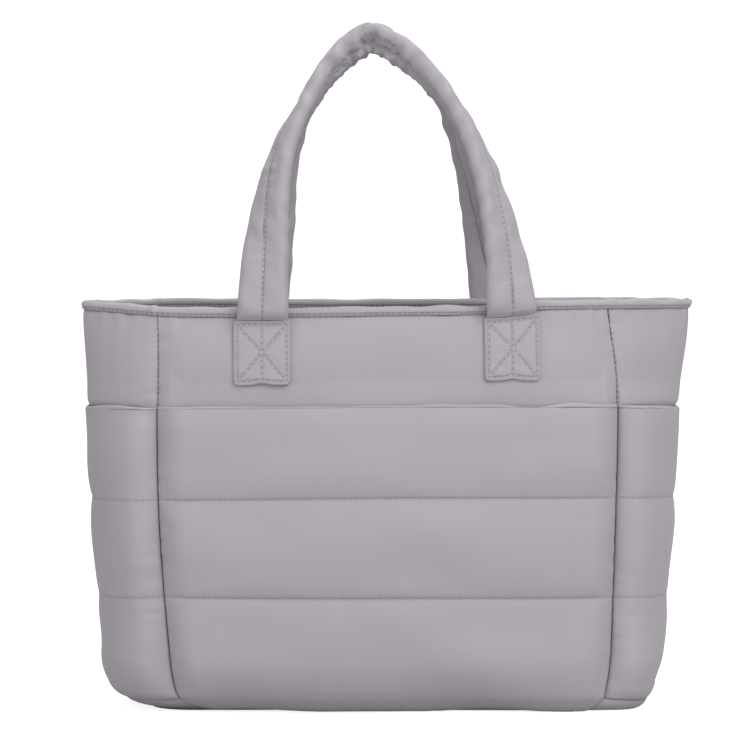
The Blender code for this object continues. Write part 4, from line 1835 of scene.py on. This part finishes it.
    def ring(self, progress: Array, walked: Array) -> tuple[Array, Array, Array, Array]:
        """The strap's surface.

        Args:
            progress: Places between the table's rows.
            walked: Metres along the strap.

        Returns:
            The points, the shares across, the face directions and the distance to the nearest crease or
            folded edge, along which the finish paints shade.
        """
        read = {name: values[:, None] for name, values in self.read(progress).items()}
        centre, face = self.centre(progress)
        last = len(HANDLE_STATIONS) - 1
        after = self.centre(np.minimum(progress + self.tangent_step, last))[0]
        before = self.centre(np.maximum(progress - self.tangent_step, 0))[0]
        tangent = unit(after - before)
        outside = unit(np.stack([-tangent[:, 2], np.zeros(len(tangent)), tangent[:, 0]], axis=-1))
        face = unit(face - tangent * np.sum(face * tangent, axis=1, keepdims=True))
        radial = unit(outside - tangent * np.sum(outside * tangent, axis=1, keepdims=True))
        turn = np.radians(read["turn"])
        normal = unit(face * np.cos(turn) + radial * np.sin(turn))
        across = unit(np.cross(tangent, normal))
        share, side = self.across()
        share, side = share[None, :], side[None, :]
        fold = np.radians(read["fold"])
        half = read["wide"] * self.width / 2
        thick = read["thick"] * self.thickness / 2
        lobe = np.sqrt(np.clip(1 - np.abs(2 * np.abs(share) - 1) ** self.roundness, 0, 1))
        full = np.where(np.abs(share) < 0.5, self.groove + (1 - self.groove) * lobe, lobe)
        hand = np.sign(share)
        seed = self.seeds[0 if self.where.side == Panel.FRONT else 1]
        metres = share * self.width / 2
        beside = np.abs(metres)
        along = walked[:, None]
        soft = self.wrinkle * Unevenness(seed, *self.wrinkle_waves).at(metres + side * 0.1, along)
        puckers = Pucker(seed + 1, *self.pucker_ripple, self.pucker)
        soft = soft + puckers.at(along + side * 0.3, beside + 0 * along)
        ends = eased(np.minimum(along, walked[-1] - along), self.end_reach)
        full = full * thick + soft * lobe * ends
        high = np.clip((read["rise"] - self.high_start) / self.high_reach, 0, 1)
        bend = np.clip((np.sin(fold) - self.gather_start) / (self.gather_full - self.gather_start), 0, 1)
        scallop = 2 * np.abs(np.sin(math.pi * along / self.gather_pitch)) ** self.scallop_power - 1
        finer = Unevenness(seed + 3, self.fine_pitch, self.fine_pitch, waves=8)
        fine = finer.at(along + 0.3 * metres, metres)
        gather = (bend * scallop * self.gather_depth + high * fine * self.gather_fine) / self.thickness
        near = np.where(share * (1.0 if self.where.side == Panel.FRONT else -1.0) >= 0, 1.0, 0.0)
        tucked = near * np.clip(np.sin(fold) / self.tuck_fold, 0, 1)
        # Painted shade: the creases and the edges of the folded near half get a distance that the finish
        # darkens like a seam, faded away outside the bend.
        smooth = self.crease_shade_fade * (1 - near * bend)
        crease = (1 - np.abs(share)) * half + smooth
        for start, slope, depth in self.creases:
            beyond = centre[:, :1] - start - slope * np.abs(share) * self.width / 2
            full = full - near * bend * depth * bell(beyond, self.crease_width)
            crease = np.minimum(crease, np.abs(beyond) + smooth)
        waves = Unevenness(seed + 2, self.tuck_wave_length, self.tuck_wave_length)
        reached = 1 - self.tuck * tucked
        reached = reached + tucked * self.tuck_wave / half * waves.at(along, 0 * along)
        half = half * reached
        lift = self.fold_lift * half / reached * np.sin(fold)
        fold = fold + high * np.abs(hand) * (self.far_fold + (self.near_fold - self.far_fold) * near)
        lean_b = hand * np.sin(fold) * full
        lean_n = np.where(hand == 0, full, np.cos(fold) * full)
        b = share * half * np.cos(fold) + hand * tucked * self.tuck_out
        n = lift - np.abs(share) * half * np.sin(fold)
        edge_pull = 1 - np.abs(share) ** 6
        under_b = b - lean_b * (1 + gather * edge_pull)
        under_b = hand * np.maximum(hand * under_b, np.abs(share) * half * self.fold_least)
        under_n = n - lean_n * (1 + gather * edge_pull) - gather * thick * 0.5
        ridge = bend * np.abs(share) ** 3 * self.gather_depth * self.ridge_share * scallop
        over_b, over_n = b + lean_b, n + lean_n - ridge * np.sin(fold)
        b = np.where(side > 0, over_b, under_b)
        n = np.where(side > 0, over_n, under_n)
        points = centre[:, None] + across[:, None] * b[..., None] + normal[:, None] * n[..., None]
        shear = np.maximum(0.0, 1 - read["rise"] / self.foot_share)
        flat = centre[:, 2:] + self.foot(points[..., 0]) - self.foot(centre[:, :1])
        points[..., 2] += shear * (flat - points[..., 2])
        return points, share, normal, crease

    def build(self, cloth: bpy.types.Material, thread: bpy.types.Material) -> None:
        """Makes the handle and its two rows of stitches.

        Args:
            cloth: The strap's finish.
            thread: The thread's finish.
        """
        progress, walked = self.walk()
        points, share, normal, crease = self.ring(progress, walked)
        # The seam distance takes in the creases and folded edges, so the finish paints shade along them as
        # well as along the middle seam.
        sewn = np.minimum(np.abs(share) * self.width / 2, crease)
        steps = np.median(np.linalg.norm(np.diff(points, axis=1), axis=2), axis=0)
        girth = np.concatenate([[0], np.cumsum(steps)])
        laid = np.stack(np.broadcast_arrays(girth[None, :], walked[:, None]), axis=-1)
        body = Body.empty()
        numbers = body.add(Cloth(points, sewn, np.broadcast_to(walked[:, None], sewn.shape), laid))
        body.cover(numbers)
        body.faces.append([int(n) for n in numbers[0, -2::-1]])
        body.faces.append([int(n) for n in numbers[-1, :-1]])
        name = "handle_" + self.where.name
        piece = body.piece("cloth_" + name, cloth, Slot.STRAP)
        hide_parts(name)
        stitches = Body.empty()
        sewn_part = slice(self.stitch_ends, -self.stitch_ends)
        folded = np.sin(np.radians(self.read(progress)["fold"]))[sewn_part, None]
        lift = self.stitch_lift - self.stitch_sink * folded
        over, under = 2 * self.lobe_steps, 6 * self.lobe_steps
        for column_at, facing in ((over, 1.0), (under, -1.0)):
            out = normal[sewn_part] * facing
            self.thread.sew(stitches, points[sewn_part, column_at] + out * lift, out)
        stitches.piece("stitches_" + name, thread, Slot.STRAP)


@dataclass(frozen=True)
class Socket:
    """One named socket of a shader node group."""

    name: str
    kind: str = "NodeSocketFloat"
    value: float | tuple[float, ...] | None = None


class Nodes:
    """Builds a node tree: keeps its nodes in columns and links them by name."""

    def __init__(self, tree: bpy.types.NodeTree) -> None:
        """Begins with an empty tree."""
        self.tree = tree
        self.column = 0

    def add(self, kind: str, links: dict | None = None, **settings: object) -> bpy.types.Node:
        """Adds a node.

        Args:
            kind: The node's type.
            links: For each input's name or number, a socket to link or a value to set.
            settings: The node's properties.

        Returns:
            The node.
        """
        node = self.tree.nodes.new(kind)
        node.location = (self.column * 190, 0)
        self.column += 1
        for key, value in settings.items():
            setattr(node, key, value)
        for key, value in (links or {}).items():
            if isinstance(value, bpy.types.NodeSocket):
                self.tree.links.new(value, node.inputs[key])
            else:
                node.inputs[key].default_value = value
        return node

    def math(self, operation: str, *values: object, clamp: bool = False) -> bpy.types.NodeSocket:
        """Adds a math node and returns its result."""
        node = self.add("ShaderNodeMath", dict(enumerate(values)), operation=operation, use_clamp=clamp)
        return node.outputs[0]

    def mix(
        self, factor: object, first: object, second: object, blend: str = "MIX"
    ) -> bpy.types.NodeSocket:
        """Adds a colour mix.

        Args:
            factor: How much of the second colour.
            first: The first colour.
            second: The second colour.
            blend: How they mix.

        Returns:
            The result.
        """
        node = self.add("ShaderNodeMix", data_type="RGBA", blend_type=blend)
        for index, value in ((0, factor), (6, first), (7, second)):
            if isinstance(value, bpy.types.NodeSocket):
                self.tree.links.new(value, node.inputs[index])
            else:
                node.inputs[index].default_value = value
        return node.outputs[2]


def node_group(
    name: str, inputs: Sequence[Socket], outputs: Sequence[Socket]
) -> tuple[bpy.types.NodeTree, Nodes, bpy.types.Node, bpy.types.Node]:
    """An empty shader node group with named sockets.

    Args:
        name: The group's name.
        inputs: Its inputs.
        outputs: Its outputs.

    Returns:
        The group, its builder, and its input and output nodes.
    """
    tree = bpy.data.node_groups.new(name, "ShaderNodeTree")
    for sockets, direction in ((inputs, "INPUT"), (outputs, "OUTPUT")):
        for socket in sockets:
            made = tree.interface.new_socket(socket.name, in_out=direction, socket_type=socket.kind)
            if socket.value is not None:
                made.default_value = socket.value
    nodes = Nodes(tree)
    return tree, nodes, nodes.add("NodeGroupInput"), nodes.add("NodeGroupOutput")


def weave_group() -> bpy.types.NodeTree:
    """A plain weave: threads that cross over and under each other.

    Returns:
        The group.
    """
    tree, nodes, given, result = node_group(
        "Plain weave",
        [Socket("Cloth", "NodeSocketVector"), Socket("Threads per metre", value=3000.0)],
        [Socket("Height")],
    )
    split = nodes.add("ShaderNodeSeparateXYZ", {0: given.outputs["Cloth"]})
    turns = nodes.math("MULTIPLY", given.outputs["Threads per metre"], math.pi)
    across = nodes.math("SINE", nodes.math("MULTIPLY", split.outputs[0], turns))
    up = nodes.math("SINE", nodes.math("MULTIPLY", split.outputs[1], turns))
    height = nodes.math("MULTIPLY_ADD", nodes.math("MULTIPLY", across, up), 0.5, 0.5)
    tree.links.new(height, result.inputs["Height"])
    return tree


def variation_group() -> bpy.types.NodeTree:
    """Soft mottling between two tints, and faint streaks down the cloth.

    Returns:
        The group.
    """
    tree, nodes, given, result = node_group(
        "Cloth variation",
        [
            Socket("Cloth", "NodeSocketVector"),
            Socket("Colour", "NodeSocketColor", (0.4, 0.37, 0.4, 1)),
            Socket("Mottling", value=0.5),
            Socket("Streaks", value=0.04),
        ],
        [Socket("Colour", "NodeSocketColor"), Socket("Height"), Socket("Mask")],
    )
    cloth, colour = given.outputs["Cloth"], given.outputs["Colour"]
    blotch = nodes.add(
        "ShaderNodeTexNoise", {"Vector": cloth, "Scale": 26.0, "Detail": 3.0, "Roughness": 0.55}
    )
    warm = nodes.mix(1.0, colour, (1.035, 0.985, 1.0, 1), "MULTIPLY")
    cool = nodes.mix(1.0, colour, (0.97, 1.0, 1.035, 1), "MULTIPLY")
    tint = nodes.mix(blotch.outputs[0], cool, warm)
    mottled = nodes.mix(given.outputs["Mottling"], colour, tint)
    drawn = nodes.add("ShaderNodeMapping", {"Vector": cloth, "Scale": (1.0, 0.06, 1.0)})
    lines = nodes.add("ShaderNodeTexNoise", {"Vector": drawn.outputs[0], "Scale": 230.0, "Detail": 4.0})
    centred = nodes.math("SUBTRACT", lines.outputs[0], 0.5)
    shade = nodes.math("MULTIPLY_ADD", centred, given.outputs["Streaks"], 1.0)
    level = nodes.add("ShaderNodeCombineXYZ", {0: shade, 1: shade, 2: shade})
    tree.links.new(nodes.mix(1.0, mottled, level.outputs[0], "MULTIPLY"), result.inputs["Colour"])
    tree.links.new(lines.outputs[0], result.inputs["Height"])
    tree.links.new(blotch.outputs[0], result.inputs["Mask"])
    return tree


def seam_group() -> bpy.types.NodeTree:
    """What a seam does to the cloth beside it: needle dimples and short pulls as bumps, and a dark line
    that is painted shade in the seam's groove, darker at each needle dimple.

    Returns:
        The group.
    """
    tree, nodes, given, result = node_group(
        "Seam pull",
        [
            Socket("Distance"),
            Socket("Along"),
            Socket("Pitch", value=0.004),
            Socket("Line width", value=0.0009),
            Socket("Reach", value=0.006),
        ],
        [Socket("Shade"), Socket("Height")],
    )
    distance, along = given.outputs["Distance"], given.outputs["Along"]
    near = nodes.math("DIVIDE", distance, given.outputs["Line width"])
    line = nodes.math("EXPONENT", nodes.math("MULTIPLY", nodes.math("MULTIPLY", near, near), -1.0))
    steps = nodes.math("DIVIDE", nodes.math("MULTIPLY", along, TURN), given.outputs["Pitch"])
    dimple = nodes.math("MULTIPLY_ADD", nodes.math("COSINE", steps), 0.5, 0.5)
    away = nodes.math("MULTIPLY", distance, -1.0)
    fade = nodes.math("EXPONENT", nodes.math("DIVIDE", away, given.outputs["Reach"]))
    spot = nodes.add("ShaderNodeCombineXYZ", {0: along, 1: nodes.math("MULTIPLY", distance, 0.2), 2: 0.0})
    pulls = nodes.add("ShaderNodeTexNoise", {"Vector": spot.outputs[0], "Scale": 190.0, "Detail": 2.0})
    pulled = nodes.math("MULTIPLY", nodes.math("SUBTRACT", pulls.outputs[0], 0.5), fade)
    sunk = nodes.math("MULTIPLY", line, nodes.math("MULTIPLY_ADD", dimple, 0.5, 0.5))
    tree.links.new(nodes.math("SUBTRACT", pulled, sunk), result.inputs["Height"])
    # Painted shade: the Shade output darkens the colour along the seam's groove.
    shade = nodes.math("MULTIPLY", line, nodes.math("MULTIPLY_ADD", dimple, 0.3, 0.7), clamp=True)
    tree.links.new(shade, result.inputs["Shade"])
    return tree


def lint_group() -> bpy.types.NodeTree:
    """A trace of lint and wear: pale flecks, and a roughness that wanders a little.

    Returns:
        The group.
    """
    tree, nodes, given, result = node_group(
        "Lint and wear",
        [Socket("Cloth", "NodeSocketVector"), Socket("Roughness", value=0.6), Socket("Amount", value=0.3)],
        [Socket("Roughness"), Socket("Flecks")],
    )
    cells = nodes.add("ShaderNodeTexVoronoi", {"Vector": given.outputs["Cloth"], "Scale": 420.0})
    small = nodes.math("LESS_THAN", cells.outputs["Distance"], 0.045)
    wander = nodes.add(
        "ShaderNodeTexNoise", {"Vector": given.outputs["Cloth"], "Scale": 60.0, "Detail": 5.0}
    )
    change = nodes.math("MULTIPLY", nodes.math("SUBTRACT", wander.outputs[0], 0.5), given.outputs["Amount"])
    rough = nodes.math("ADD", given.outputs["Roughness"], change, clamp=True)
    tree.links.new(rough, result.inputs["Roughness"])
    tree.links.new(nodes.math("MULTIPLY", small, given.outputs["Amount"]), result.inputs["Flecks"])
    return tree


@dataclass(frozen=True)
class Effects:
    """The node groups that several finishes share."""

    weave: bpy.types.NodeTree
    variation: bpy.types.NodeTree
    seam: bpy.types.NodeTree
    lint: bpy.types.NodeTree

    @classmethod
    def build(cls) -> "Effects":
        """Makes each group once."""
        return cls(weave_group(), variation_group(), seam_group(), lint_group())


@dataclass(frozen=True)
class ClothFinish:
    """One cloth: its colour, how rough and soft it looks, and what its weave and seams do, with painted
    shade along the seams.
    """

    name: str
    colour: tuple[float, float, float]
    roughness: float = 0.62
    sheen: float = 0.22
    sheen_roughness: float = 0.5
    specular: float = 0.35
    threads: float = 2600.0
    weave_depth: float = 0.00003
    mottling: float = 0.8
    streaks: float = 0.035
    seam_shade: float = 0.30
    seam_depth: float = 0.00022
    line_width: float = 0.0008
    lint: float = 0.06
    shade_line_share: float = 0.35
    fleck_colour: tuple[float, float, float] = (0.75, 0.75, 0.78)
    streak_depth: float = 0.00012

    def material(self, effects: Effects) -> bpy.types.Material:
        """Makes the material.

        Args:
            effects: The shared node groups.

        Returns:
            The material.
        """
        made = bpy.data.materials.new(self.name)
        made.use_nodes = True
        made.diffuse_color = (*self.colour, 1)
        made.node_tree.nodes.clear()
        nodes = Nodes(made.node_tree)
        cloth = nodes.add("ShaderNodeUVMap", uv_map=CLOTH_MAP).outputs[0]
        sewn = nodes.add("ShaderNodeAttribute", attribute_name=SEWN).outputs["Fac"]
        run = nodes.add("ShaderNodeAttribute", attribute_name=RUN).outputs["Fac"]
        weave = nodes.add(
            "ShaderNodeGroup", {"Cloth": cloth, "Threads per metre": self.threads}, node_tree=effects.weave
        )
        varied = nodes.add("ShaderNodeGroup", node_tree=effects.variation)
        values = {"Mottling": self.mottling, "Streaks": self.streaks, "Colour": (*self.colour, 1)}
        for key, value in values.items():
            varied.inputs[key].default_value = value
        nodes.tree.links.new(cloth, varied.inputs["Cloth"])
        seam = nodes.add("ShaderNodeGroup", node_tree=effects.seam)
        nodes.tree.links.new(sewn, seam.inputs["Distance"])
        nodes.tree.links.new(run, seam.inputs["Along"])
        seam.inputs["Line width"].default_value = self.line_width
        lint = nodes.add("ShaderNodeGroup", node_tree=effects.lint)
        nodes.tree.links.new(cloth, lint.inputs["Cloth"])
        lint.inputs["Roughness"].default_value = self.roughness
        lint.inputs["Amount"].default_value = self.lint
        # Painted shade along seams and creases: the colour darkens by seam_shade towards a darker copy of
        # itself along each seam's line.
        dark = nodes.math("MULTIPLY", seam.outputs["Shade"], self.seam_shade)
        seam_shade_colour = (*(self.shade_line_share * c for c in self.colour), 1.0)
        shaded = nodes.mix(dark, varied.outputs["Colour"], seam_shade_colour)
        colour = nodes.mix(lint.outputs["Flecks"], shaded, (*self.fleck_colour, 1))
        normal = None
        for height, depth, strength in (
            (weave.outputs["Height"], self.weave_depth, 0.6),
            (varied.outputs["Height"], self.streak_depth, 0.4),
            (seam.outputs["Height"], self.seam_depth, 1.0),
        ):
            links = {"Height": height, "Distance": depth, "Strength": strength}
            bump = nodes.add("ShaderNodeBump", links if normal is None else {**links, "Normal": normal})
            normal = bump.outputs[0]
        shader = nodes.add(
            "ShaderNodeBsdfPrincipled",
            {
                "Base Color": colour,
                "Roughness": lint.outputs["Roughness"],
                "Normal": normal,
                "Sheen Weight": self.sheen,
                "Sheen Roughness": self.sheen_roughness,
                "Specular IOR Level": self.specular,
            },
        )
        out = nodes.add("ShaderNodeOutputMaterial")
        nodes.tree.links.new(shader.outputs[0], out.inputs[0])
        return made


@dataclass
class Studio:
    """The camera, the pale floor, the bright background and the soft lights."""

    target: Vector = Vector((-0.0098, 0.0, 0.2391))
    distance: float = 2.2
    azimuth: float = -3.5
    elevation: float = 4.0
    view: float = 14.07
    backdrop: float = 1.15
    fill: float = 0.36
    floor_colour: float = 0.56
    floor_glow: float = 0.85
    floor_size: float = 6.0

    def camera(self) -> None:
        """Places the camera in front of the bag."""
        turn, rise = math.radians(self.azimuth), math.radians(self.elevation)
        back = Vector((math.sin(turn) * math.cos(rise), -math.cos(turn) * math.cos(rise), math.sin(rise)))
        data = bpy.data.cameras.new("camera")
        data.sensor_width = 36
        data.angle = math.radians(self.view)
        data.clip_start = 0.05
        data.clip_end = 60
        camera = bpy.data.objects.new("camera", data)
        camera.location = self.target + back * self.distance
        camera.rotation_euler = back.to_track_quat("Z", "Y").to_euler()
        bpy.context.scene.collection.objects.link(camera)
        bpy.context.scene.camera = camera

    def light(self, name: str, place: tuple[float, float, float], size: float, power: float) -> None:
        """Adds a soft square light that looks at the bag.

        Args:
            name: The light's name.
            place: Where it stands.
            size: The length of its side.
            power: Its power in watts.
        """
        data = bpy.data.lights.new(name, "AREA")
        data.size = size
        data.energy = power
        lamp = bpy.data.objects.new(name, data)
        lamp.location = place
        lamp.rotation_euler = (Vector(place) - Vector((0, 0, 0.2))).to_track_quat("Z", "Y").to_euler()
        bpy.context.scene.collection.objects.link(lamp)

    def floor(self) -> None:
        """Lays the pale floor."""
        half = self.floor_size / 2
        mesh = bpy.data.meshes.new("floor")
        corners = [(-half, -half, 0), (half, -half, 0), (half, half, 0), (-half, half, 0)]
        mesh.from_pydata(corners, [], [(0, 1, 2, 3)])
        material = bpy.data.materials.new("floor")
        material.use_nodes = True
        material.node_tree.nodes.clear()
        nodes = Nodes(material.node_tree)
        plain = nodes.add("ShaderNodeBsdfDiffuse", {"Color": (*[self.floor_colour] * 3, 1)})
        glow = nodes.add("ShaderNodeEmission", {"Color": (1, 1, 1, 1), "Strength": self.floor_glow})
        both = nodes.add("ShaderNodeAddShader", {0: plain.outputs[0], 1: glow.outputs[0]})
        seen = nodes.add("ShaderNodeLightPath").outputs["Is Camera Ray"]
        mixed = nodes.add("ShaderNodeMixShader", {0: seen, 1: plain.outputs[0], 2: both.outputs[0]})
        out = nodes.add("ShaderNodeOutputMaterial")
        nodes.tree.links.new(mixed.outputs[0], out.inputs[0])
        mesh.materials.append(material)
        floor = bpy.data.objects.new("floor", mesh)
        bpy.context.scene.collection.objects.link(floor)

    def world(self) -> None:
        """A white background, with a softer light on the bag than the camera sees."""
        world = bpy.data.worlds.new("studio")
        world.use_nodes = True
        world.node_tree.nodes.clear()
        nodes = Nodes(world.node_tree)
        seen = nodes.add("ShaderNodeLightPath").outputs["Is Camera Ray"]
        strength = nodes.math("MULTIPLY_ADD", seen, self.backdrop - self.fill, self.fill)
        shader = nodes.add("ShaderNodeBackground", {"Color": (1, 1, 1, 1), "Strength": strength})
        out = nodes.add("ShaderNodeOutputWorld")
        nodes.tree.links.new(shader.outputs[0], out.inputs[0])
        bpy.context.scene.world = world

    def build(self) -> None:
        """Makes the whole studio."""
        self.camera()
        self.floor()
        self.world()
        self.light("key", (1.2, -2.1, 2.0), 1.6, 42.0)
        self.light("front", (-0.2, -2.6, 0.6), 1.4, 12.0)
        self.light("fill", (-1.9, -1.6, 1.3), 2.0, 12.5)
        self.light("top", (0.1, 0.5, 2.4), 1.8, 27.0)
        bpy.context.scene.view_settings.view_transform = "Standard"


def write_sizes() -> None:
    """Updates the view layer."""
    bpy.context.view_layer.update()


def main() -> None:
    """Dresses the bag and lights it."""
    logging.basicConfig(level=logging.INFO, format="%(message)s")
    effects = Effects.build()
    # Each finish's seam_shade paints shade along its seams; the hem's is darker and wider, for the shade
    # under the hem.
    shell = ClothFinish("shell_cloth_finish", (0.398, 0.372, 0.402)).material(effects)
    strap = ClothFinish(
        "strap_cloth_finish", (0.402, 0.374, 0.405), roughness=0.60, seam_shade=0.42
    ).material(effects)
    hem = ClothFinish(
        "hem_cloth_finish", (0.398, 0.372, 0.402), seam_shade=0.65, line_width=0.0011
    ).material(effects)
    base = ClothFinish("base_cloth_finish", (0.385, 0.352, 0.376)).material(effects)
    plain = {"seam_shade": 0.0, "seam_depth": 0.0, "mottling": 0.2}
    thread = ClothFinish("thread_finish", (0.56, 0.54, 0.57), 0.55, **plain).material(effects)
    fine_thread = ClothFinish("fine_thread_finish", (0.41, 0.39, 0.42), 0.6, **plain).material(effects)
    BagShell().build(shell, fine_thread)
    RimHem().build(hem, fine_thread)
    Base().build(base)
    for where in (
        StrapSide(Panel.FRONT, "front", 0.1766, -0.0040),
        StrapSide(Panel.BACK, "back", 0.1730, -0.0025, drop=0.0015, pinch=0.06, sway=0.0015),
    ):
        Handle(where).build(strap, thread)
        for hand in (-1, 1):
            Tab(where, hand).build(strap, thread)
    Studio().build()
    write_sizes()


if __name__ == "__main__":
    main()
